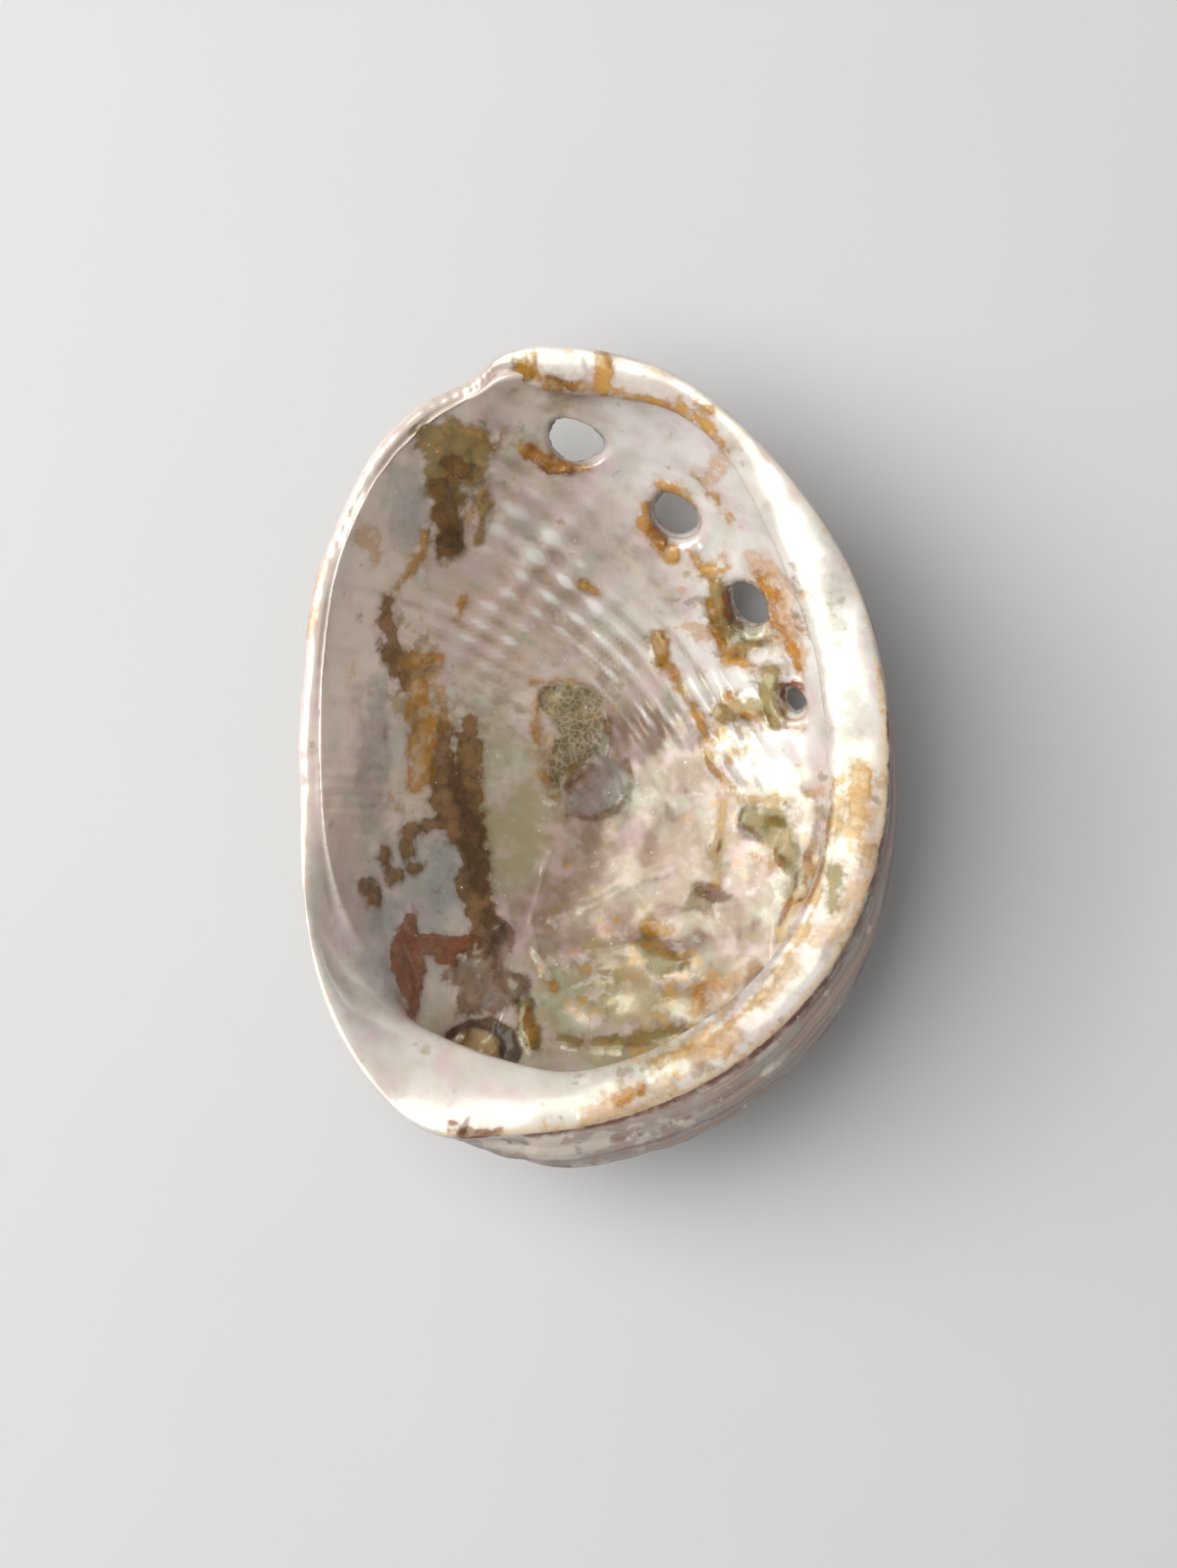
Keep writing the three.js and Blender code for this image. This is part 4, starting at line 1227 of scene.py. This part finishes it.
class Paint:
    """Builds the shell's node tree on patterns and fields that its layers share."""

    def __init__(self, tree, look):
        self.tree, self.look = tree, look
        self.place = self.add("TexCoord", output="Object")
        self.patterns = {name: self.pattern(*values) for name, values in PATTERNS.items()}
        self.fields = {name: self.add("Attribute", output="Fac", attribute_name=name)
                       for name in (*FILMS, *TONES, *PLACE_FIELDS)}

    def add(self, kind, inputs=(), output=0, **settings):
        """A node added to this tree."""
        return add_node(self.tree, kind, inputs, output, **settings)

    def colour(self, name):
        """A colour of the shell's look, with full alpha."""
        return (*getattr(self.look, name), 1.0)

    def pattern(self, size, detail, moved):
        """A cloudy pattern with patches about `size` mm across, moved far off."""
        place = self.place
        if moved:
            away = {0: place, 1: (moved, 2 * moved, -moved)}
            place = self.add("VectorMath", away, operation="ADD")
        inputs = {"Vector": place, "Scale": 1 / (size * MM), "Detail": detail, "Roughness": 0.6}
        return self.add("TexNoise", inputs)

    def lay(self, under, over, amount, start, end, most=1.0):
        """Lays a colour over another where the amount goes from `start` to `end`, and
        no thicker than `most`."""
        limits = {"From Min": start, "From Max": end, "To Max": most}
        share = self.add("MapRange", {"Value": amount, **limits}, interpolation_type="SMOOTHSTEP")
        over = self.colour(over) if isinstance(over, str) else over
        return self.add("Mix", {0: share, 6: under, 7: over}, **COLOURS)

    def streaks(self):
        """Streaks drawn out along the growth, made even where they crowd at the tip."""
        spiral = {"X": self.fields["cord"], "Y": self.fields["growth"]}
        stretched = self.add("CombineXYZ", spiral)
        streak = self.add("TexNoise", {"Vector": stretched, "Scale": 14.0, "Detail": 4})
        return self.add("Mix", {0: self.fields["drawn_out"], 2: 0.5, 3: streak}, **NUMBERS)

    def pearl(self):
        """The clean nacre's colour: broad tones, some of them painted light, streaks that
        follow the growth, painted highlight on the waves' crests and painted shade in their
        troughs, and faint patches of pink and green painted as iridescent sheen."""
        streak = self.streaks()
        colour = self.lay(self.colour("pearl"), "shade", streak, 0.42, 0.68)
        uneven = self.add("Math", {0: self.patterns["mottle"], 1: 0.5}, operation="SUBTRACT")
        for tone in ("tan", "rosy", "mossy", "cool", "blush_and_light", "pale"):
            share = self.add("Math", {0: self.fields[tone], 1: uneven}, operation="ADD")
            colour = self.lay(colour, tone, share, 0.05, 0.95)
        # Painted highlight on the waves' crests and painted shade in their troughs.
        uneven = self.add("Math", {0: streak, 1: 0.5}, operation="SUBTRACT")
        crest = self.add("Math", {0: self.fields["crest"], 1: uneven}, operation="ADD")
        colour = self.lay(colour, "pale", crest, 0.05, 0.7, 0.9)
        colour = self.lay(colour, "shade", crest, 0.0, -0.7, 0.85)
        # Pink and green patches: painted iridescent sheen of the nacre.
        colour = self.lay(colour, "pink", self.patterns["pink"], 0.46, 0.68, 0.42)
        return self.lay(colour, "green", self.patterns["green"], 0.5, 0.72, 0.3)

    def back(self):
        """The outside's colour: reddish-brown layers in growth bands, worn through to
        grey and pearl on the cords and the knobs."""
        sloping = self.add("Math", {0: self.fields["growth"], 1: 22.0}, operation="MULTIPLY")
        steep = self.add("Math", {0: self.fields["edge"], 1: 0.7}, operation="MULTIPLY")
        across = self.add("Mix", {0: self.fields["walled"], 2: sloping, 3: steep}, **NUMBERS)
        along = self.add("Math", {0: self.fields["cord"], 1: 2.2}, operation="MULTIPLY")
        lines = self.add("CombineXYZ", {"X": across, "Y": along})
        band = self.add("TexNoise", {"Vector": lines, "Scale": 1.0, "Detail": 4})
        colour = self.lay(self.colour("skin"), "skin_dark", band, 0.45, 0.62)
        colour = self.lay(colour, "skin_grey", self.patterns["mottle"], 0.5, 0.64, 0.8)
        worn = {0: self.patterns["worn"], 1: self.fields["wear"]}
        worn = self.add("Math", worn, operation="ADD")
        colour = self.lay(colour, "pearl", worn, 0.66, 0.76, 0.85)
        return self.lay(colour, "pale", self.patterns["fleck"], 0.68, 0.76, 0.5)

    def layered(self, colour):
        """Scraps of broken layers in four tints, where the shell is busiest."""
        reach = self.add("Math", {0: self.fields["layered"], 1: 0.16}, operation="MULTIPLY")
        for size, tint, most in SCRAPS:
            cloud = {0: self.pattern(size, 3, size), 1: reach}
            cloud = self.add("Math", cloud, operation="ADD")
            colour = self.lay(colour, tint, cloud, 0.66, 0.74, most)
        return colour

    def crazed(self, colour):
        """Pale lines in an uneven net about 1 mm wide, as where a dried skin has cracked."""
        wide = {"Vector": self.place, "Scale": 1 / (1.2 * MM)}
        bend = {0: self.add("TexNoise", wide, "Color"), 1: (1.6 * MM,) * 3, 2: self.place}
        bent = self.add("VectorMath", bend, operation="MULTIPLY_ADD")
        net = {"Vector": bent, "Scale": 1 / (1.0 * MM)}
        net = self.add("TexVoronoi", net, "Distance", feature="DISTANCE_TO_EDGE")
        return self.lay(colour, "cream", net, 0.16, 0.0, 0.3)

    def film(self, name, fleck, depth, under, thick):
        """One film's colour: flecked, with a darker rind where it is thick, half glaze and
        half flat colour, and grimy."""
        film = self.lay(self.colour(name), fleck, self.patterns["speck"], 0.48, 0.66, 0.75)
        if thick:
            rind = self.add("Mix", {0: 0.4, 6: film, 7: self.colour("peat")}, **COLOURS)
            film = self.lay(rind, film, depth, 0.0, RIND)
        clear = self.add("Mix", {0: 1.0, 6: film, 7: film}, blend_type="SCREEN", **COLOURS)
        glaze = self.add("Mix", {0: 1.0, 6: under, 7: clear}, **MULTIPLIED)
        film = self.add("Mix", {0: GLAZE, 6: film, 7: glaze}, **COLOURS)
        grimy = self.add("Mix", {0: 1.0, 6: film, 7: film}, **MULTIPLIED)
        film = self.lay(film, grimy, self.patterns["grime"], 0.5, 0.72, 0.5)
        return self.crazed(film) if name == "scar" else film

    def films(self, colour):
        """Lays each film over the colour where its depth, roughened by noise, is above
        nought. Returns the colour, the roughness and how much clean pearl is left."""
        rough = 0.23
        clean = 1.0
        ragged = self.add("Math", {0: self.patterns["worn_edge"], 1: 0.5}, operation="SUBTRACT")
        for name, (wander, soft, cover, roughness, margin, fleck) in FILMS.items():
            depth = self.add("Math", {0: ragged, 1: 4 * wander}, operation="MULTIPLY")
            depth = self.add("Math", {0: depth, 1: self.fields[name]}, operation="ADD")
            if margin:
                stained = {0: 1.0, 6: colour, 7: self.colour(name)}
                stained = self.add("Mix", stained, **MULTIPLIED)
                colour = self.lay(colour, stained, depth, -HALO, 0.5, margin)
            film = self.film(name, fleck, depth, colour, margin > THICK)
            mask = {"Value": depth, "From Min": -soft / 2, "From Max": soft / 2, "To Max": cover}
            mask = self.add("MapRange", mask, interpolation_type="SMOOTHSTEP")
            colour = self.add("Mix", {0: mask, 6: colour, 7: film}, **COLOURS)
            rough = self.add("Mix", {0: mask, 2: rough, 3: roughness}, **NUMBERS)
            bare = self.add("Math", {0: 1.0, 1: mask}, operation="SUBTRACT")
            clean = self.add("Math", {0: clean, 1: bare}, operation="MULTIPLY")
        return colour, rough, clean

    def crumbs(self, colour):
        """White crumbs about 1.6 mm apart, more of them where the mottling is high."""
        near = self.add("TexVoronoi", {"Vector": self.place, "Scale": 1 / (1.6 * MM)}, "Distance")
        limits = {"From Min": 0.45, "From Max": 0.62, "To Max": 0.07}
        reach = {"Value": self.patterns["mottle"], **limits}
        reach = self.add("MapRange", reach, interpolation_type="SMOOTHSTEP")
        near = self.add("Math", {0: near, 1: reach}, operation="SUBTRACT")
        return self.lay(colour, "chalk_and_glint", near, 0.03, -0.01, 0.75)


def grown_nacre(look):
    """Grown nacre under films of conchiolin: thin layers laid by the animal, which give
    the inside a soft pearly gloss with pink and green in it, where worn clean, that pink
    and green being painted into the colour as sheen; the outside is the same shell's
    weathered skin, dull and gritty."""
    material = bare_material("grown_nacre")
    paint = Paint(material.node_tree, look)
    colour, rough, clean = paint.films(paint.layered(paint.pearl()))
    outside = paint.fields["outside"]
    both = {0: outside, 6: paint.crumbs(colour), 7: paint.back()}
    inside = paint.add("Math", {0: 1.0, 1: outside}, operation="SUBTRACT")
    shown = paint.add("Math", {0: clean, 1: inside}, operation="MULTIPLY")
    bump = {"Height": paint.patterns["grain"], "Strength": 0.05, "Distance": 0.08 * MM}
    shader = paint.add("BsdfPrincipled", {
        "Base Color": paint.add("Mix", both, **COLOURS),
        "Roughness": paint.add("Mix", {0: outside, 2: rough, 3: 0.55}, **NUMBERS),
        "Normal": paint.add("Bump", bump, "Normal"),
        "Metallic": paint.add("Math", {0: shown, 1: 0.15}, operation="MULTIPLY"),
        "IOR": 1.53,
        "Coat Weight": paint.add("Math", {0: inside, 1: look.gloss}, operation="MULTIPLY"),
        "Coat Roughness": 0.12,
        "Thin Film Thickness": 380.0,
        "Thin Film IOR": 1.45,
    })
    paint.add("OutputMaterial", {"Surface": shader})
    return material


def painted_board(look):
    """Matt painted board, rolled on: a pale floor with a faint unevenness."""
    material = bare_material("painted_board")
    tree = material.node_tree
    place = add_node(tree, "TexCoord", output="Object")
    cloud = add_node(tree, "TexNoise", {"Vector": place, "Scale": 1 / (40 * MM), "Detail": 3})
    board = (*look.floor_colour, 1.0)
    dull = (*(0.96 * part for part in look.floor_colour), 1.0)
    mixed = add_node(tree, "Mix", {0: cloud, 6: board, 7: dull}, **COLOURS)
    shader = add_node(tree, "BsdfPrincipled", {"Base Color": mixed, "Roughness": 0.75})
    add_node(tree, "OutputMaterial", {"Surface": shader})
    return material


# ---- Putting the pieces in the scene ----

def add_mesh(name, points, quads, attributes, material):
    """A smooth-shaded object at the origin from points in metres, quads and one number
    per vertex for each named attribute."""
    mesh = bpy.data.meshes.new(name)
    mesh.vertices.add(len(points))
    mesh.vertices.foreach_set("co", points.astype(np.float32).ravel())
    mesh.loops.add(quads.size)
    mesh.loops.foreach_set("vertex_index", quads.astype(np.int32).ravel())
    mesh.polygons.add(len(quads))
    mesh.polygons.foreach_set("loop_start", np.arange(0, quads.size, 4, dtype=np.int32))
    mesh.polygons.foreach_set("use_smooth", np.ones(len(quads), bool))
    for key, values in attributes.items():
        layer = mesh.attributes.new(key, "FLOAT", "POINT")
        layer.data.foreach_set("value", values.astype(np.float32))
    mesh.update(calc_edges=True)
    if mesh.validate():
        raise RuntimeError(f"{name} has faulty faces")
    piece = bpy.data.objects.new(name, mesh)
    mesh.materials.append(material)
    bpy.context.scene.collection.objects.link(piece)
    return piece


def edge_films(places):
    """Depths of the two lines that run round the rim: a cream one on its crest, and a
    reddish-brown one just outside it, from the right side round the back."""
    x, y = places.x, places.y
    behind = smooth((x * 0.45 - y * 0.9 + 2) / 14) * smooth((x + 16) / 8)
    under = FAR_OFF * (places.layer > 0.4)  # the wall under the shelf lies below the rim too
    cream = 0.55 - np.abs(places.edge - 0.55) - 0.5 * (1 - behind) - under
    redline = 0.45 - np.abs(places.edge + 0.25) - 3 * (1 - behind) - under
    return {"cream": cream, "redline": redline}


def inside_fields(places):
    """Shares that the inside's paint reads: the tones, pale on the shelf too; the scraps;
    the waves' crests, where highlight and shade are painted; and where streaks show."""
    fields = tone_shares(places)
    shelf_pale = 0.5 * places.shelf * smooth(places.rim["shelf"] / 3)
    fields["pale"] = np.maximum(fields["pale"] * (1 - places.shelf), shelf_pale)
    layered = sum(places.bell(x, y, radius) for x, y, radius in LAYERED)
    fields["layered"] = np.clip(layered, 0, 1) * (places.layer > SKIN_TOP)
    cords, folds = pearl_waves(places)
    waves = 0.7 * cords + 0.6 * folds * fold_share(places)
    # crest is high on the waves' crests and low in their troughs: the paint lays a painted
    # highlight and painted shade by it.
    fields["crest"] = wave_strength(places) * waves * places.bowl
    tip_distance = np.hypot(places.x - TIP[0], places.y - TIP[1])
    fields["drawn_out"] = smooth((tip_distance - 12) / 14)  # streaks crowd together at the tip
    return fields


def outside_fields(places):
    """Shares that the back's paint reads: where it lies, where it is steep, and where it
    is worn, which is on the cords, along the edge and at the spire's end."""
    steep = walled(places)
    lines = 0.08 * np.cos(2 * np.pi * places.cord / CORD_SPACING) * (1 - steep)
    band = 0.1 * hump(places.edge + 4, 2.5) * steep
    worn = lines + band + 0.2 * places.bell(-8, -50, 16)
    on_wall = places.layer < 0.35  # the wall under the shelf lies out past the rim too
    return {
        "outside": smooth(-(places.edge + 0.3) / 0.6) * on_wall,
        "walled": steep,
        "wear": worn * places.outer,
    }


def vertex_fields(places, depths):
    """Every attribute that the shell's material reads."""
    films = {**depths, **edge_films(places)}
    fields = {name: np.clip(depth, -DEPTH_LIMIT, DEPTH_LIMIT) for name, depth in films.items()}
    fields.update(inside_fields(places))
    fields.update(outside_fields(places))
    fields.update({"cord": places.cord, "growth": places.growth, "edge": places.edge})
    return fields


def colour_property(name, hex_colour, description):
    """A colour that a user may change, given as sRGB hex and kept linear."""
    return bpy.props.FloatVectorProperty(
        name=name, description=description, default=linear(hex_colour)[:3],
        subtype="COLOR", size=3, min=0.0, max=1.0)


class ShellLook(bpy.types.PropertyGroup):
    """The shell's fine relief, its gloss and its colours."""

    relief: bpy.props.FloatProperty(
        name="Relief", description="How strongly waves, growth lines and films stand out",
        default=1.0, subtype="FACTOR")
    gloss: bpy.props.FloatProperty(
        name="Gloss", description="Clear gloss on the inside, 0 to 1",
        default=0.5, min=0.0, max=1.0, subtype="FACTOR")
    pearl: colour_property("Pearl", "#e3d4c4", "Plain nacre")
    # Darker nacre for the streaks and scraps, and the painted shade in the waves' troughs.
    shade: colour_property("Shaded pearl", "#a08c76", "Nacre in the troughs of its waves")
    # Also the painted highlight on the waves' crests and the painted glare on the right wall by the
    # holes.
    pale: colour_property("Pale pearl", "#f5f0ea", "Clean bright nacre")
    # Tan is also painted shade low on the right, where the lamps' highlight falls.
    tan: colour_property("Tan pearl", "#8f7263", "Warm, duller nacre low on the right")
    rosy: colour_property("Rosy pearl", "#dcc0af", "Pinkish nacre")
    mossy: colour_property("Mossy pearl", "#a99b78", "Greenish-beige nacre")
    cool: colour_property("Cool pearl", "#b3afab", "Blue-grey nacre")
    # Blush is also painted light: it lightens the left wall, which faces away from the lamps.
    blush_and_light: colour_property("Blush pearl", "#f0ddd1", "Light warm pink of the thin wall")
    # Pink and green are painted iridescent sheen.
    pink: colour_property("Pink", "#dfbfc4", "Pink glint of thin layers")
    green: colour_property("Green", "#c0cfb8", "Green glint of thin layers")
    slate: colour_property("Slate", "#a4a3a1", "Clean grey patches")
    peach: colour_property("Peach film", "#dbb186", "Thin orange-pink film")
    scar: colour_property("Scar", "#80755a", "Rough patch where the muscle held")
    olive: colour_property("Olive film", "#96813f", "Greenish-brown film")
    umber: colour_property("Umber film", "#98703f", "Brown film")
    crust: colour_property("Crust", "#8a6b55", "Grainy purplish crust")
    violet: colour_property("Violet layers", "#8f8684", "Violet-grey layers laid bare")
    peat: colour_property("Peat film", "#6b4a2d", "Darkest brown film")
    rust: colour_property("Rust film", "#8f4a26", "Reddish-brown film")
    gold: colour_property("Gold film", "#cc9434", "Amber edge of old layers")
    # Chalk also paints glints on the pearl and a glare spot on the shelf.
    chalk_and_glint: colour_property("Chalk", "#efece6", "White flakes")
    thread: colour_property("Thread", "#d9c6ad", "Pale edges of broken layers")
    # Also painted shade in the dark ring round the pit.
    dirt_and_shade: colour_property("Dirt", "#4d3026", "Dark dirt in hollows")
    bead: colour_property("Bead", "#c2a273", "Tan floor of the pit")
    # Cream also flecks the gold film as painted glints.
    cream: colour_property("Cream edge", "#dfc9a8", "Cream line on the rim")
    redline: colour_property("Red-brown edge", "#6f4436", "Dark line outside the rim")
    skin: colour_property("Skin", "#c0aa9d", "Outer skin")
    skin_dark: colour_property("Dark skin", "#9c8276", "Outer skin's dark growth bands")
    skin_grey: colour_property("Grey skin", "#bbb7ab", "Weathered outer skin")


class StageLook(bpy.types.PropertyGroup):
    """Sizes and strengths of the floor, the lights and the camera."""

    floor_colour: colour_property("Floor", "#d9d9d8", "Colour of the painted floor")
    floor_width: bpy.props.FloatProperty(
        name="Floor width", description="Across the square floor", default=1.6, unit="LENGTH")
    key_power: bpy.props.FloatProperty(
        name="Key lights", description="Power of the two soft lights at the left",
        default=12.6, unit="POWER")
    sky: bpy.props.FloatProperty(
        name="Fill", description="Strength of the light from all round",
        default=0.27, subtype="FACTOR")
    camera_height: bpy.props.FloatProperty(
        name="Camera height", description="Above the floor", default=0.407, unit="LENGTH")
    focal_length: bpy.props.FloatProperty(
        name="Focal length", description="Of the lens, in millimetres",
        default=71.9, unit="CAMERA")


class GrowShell(bpy.types.Operator):
    """Grows the shell's skin, finishes it and puts it in place of the plain solid"""

    bl_idname = "shell.grow"
    bl_label = "Grow the shell"

    def execute(self, context):
        look = context.scene.shell_look
        skin = Skin()
        places = Places(skin)
        depths = stain_depths(places)
        points, shift = seated(relieved(skin, places, depths, look.relief))
        context.scene["shell_shift"] = [float(step) for step in shift]
        fields = vertex_fields(places, depths)
        piece = add_mesh("shell_skin", points, skin.quads, fields, grown_nacre(look))
        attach(piece, "root")
        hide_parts("shell")
        return {"FINISHED"}


# Soft lights: place, width and depth in metres, and share of the key power.
SOFT_LIGHTS = {
    "high_key": ((-0.5, 0.15, 0.85), 0.85, 0.85, 0.68),
    "low_key": ((-0.85, 0.25, 0.5), 0.65, 0.45, 0.32),
}


class SetStage(bpy.types.Operator):
    """Lays the floor and sets the lights and the camera"""

    bl_idname = "shell.stage"
    bl_label = "Set the stage"

    def execute(self, context):
        look = context.scene.stage_look
        self.lay_floor(look)
        self.light(look, context.scene)
        self.aim_camera(look, context.scene)
        return {"FINISHED"}

    def lay_floor(self, look):
        """One flat square, its middle under the shell."""
        half = look.floor_width / 2
        corners = half * np.array([(-1, -1, 0), (1, -1, 0), (1, 1, 0), (-1, 1, 0)])
        floor = add_mesh("floor", corners, np.array([[0, 1, 2, 3]]), {}, painted_board(look))

    def light(self, look, scene):
        """Two broad soft lights on the left, turned to the shell, and an even fill."""
        for name, (place, width, depth, share) in SOFT_LIGHTS.items():
            light = bpy.data.lights.new(name, "AREA")
            light.shape = "RECTANGLE"
            light.size, light.size_y = width, depth
            light.energy = look.key_power * share
            lamp = bpy.data.objects.new(name, light)
            lamp.location = place
            towards = -lamp.location.normalized()
            lamp.rotation_euler = towards.to_track_quat("-Z", "Y").to_euler()
            scene.collection.objects.link(lamp)
        world = bpy.data.worlds.new("studio")
        world.use_nodes = True
        fill = world.node_tree.nodes["Background"].inputs
        fill["Color"].default_value = (1.0, 1.0, 1.0, 1.0)
        fill["Strength"].default_value = look.sky
        scene.world = world
        scene.view_settings.view_transform = "Standard"

    def aim_camera(self, look, scene):
        """Straight down, just left of and behind the shell's middle."""
        shift = scene["shell_shift"]
        data = bpy.data.cameras.new("camera")
        data.lens = look.focal_length
        data.sensor_width = 36
        data.clip_start = 0.01
        camera = bpy.data.objects.new("camera", data)
        x, y = ((at + moved) * MM for at, moved in zip(CAMERA_AT, shift))
        camera.location = (x, y, look.camera_height)
        scene.collection.objects.link(camera)
        scene.camera = camera


class ShellPanel(bpy.types.Panel):
    """Lists the steps and the looks in the sidebar"""

    bl_idname = "VIEW3D_PT_shell"
    bl_label = "Abalone shell"
    bl_space_type = "VIEW_3D"
    bl_region_type = "UI"
    bl_category = "Shell"

    def draw(self, context):
        for step in STEPS:
            self.layout.operator(step.bl_idname)
        for group in (context.scene.shell_look, context.scene.stage_look):
            for name in group.__annotations__:
                self.layout.prop(group, name)


STEPS = (GrowShell, SetStage)
CLASSES = (ShellLook, StageLook, *STEPS, ShellPanel)


def register():
    """Makes the classes known, with the looks kept on the scene."""
    for each in CLASSES:
        bpy.utils.register_class(each)
    bpy.types.Scene.shell_look = bpy.props.PointerProperty(type=ShellLook)
    bpy.types.Scene.stage_look = bpy.props.PointerProperty(type=StageLook)


def unregister():
    """Takes back all that register made."""
    del bpy.types.Scene.stage_look
    del bpy.types.Scene.shell_look
    for each in reversed(CLASSES):
        bpy.utils.unregister_class(each)


def main():
    """Builds everything in order."""
    register()
    bpy.ops.shell.grow()
    bpy.ops.shell.stage()


if __name__ == "__main__":
    main()
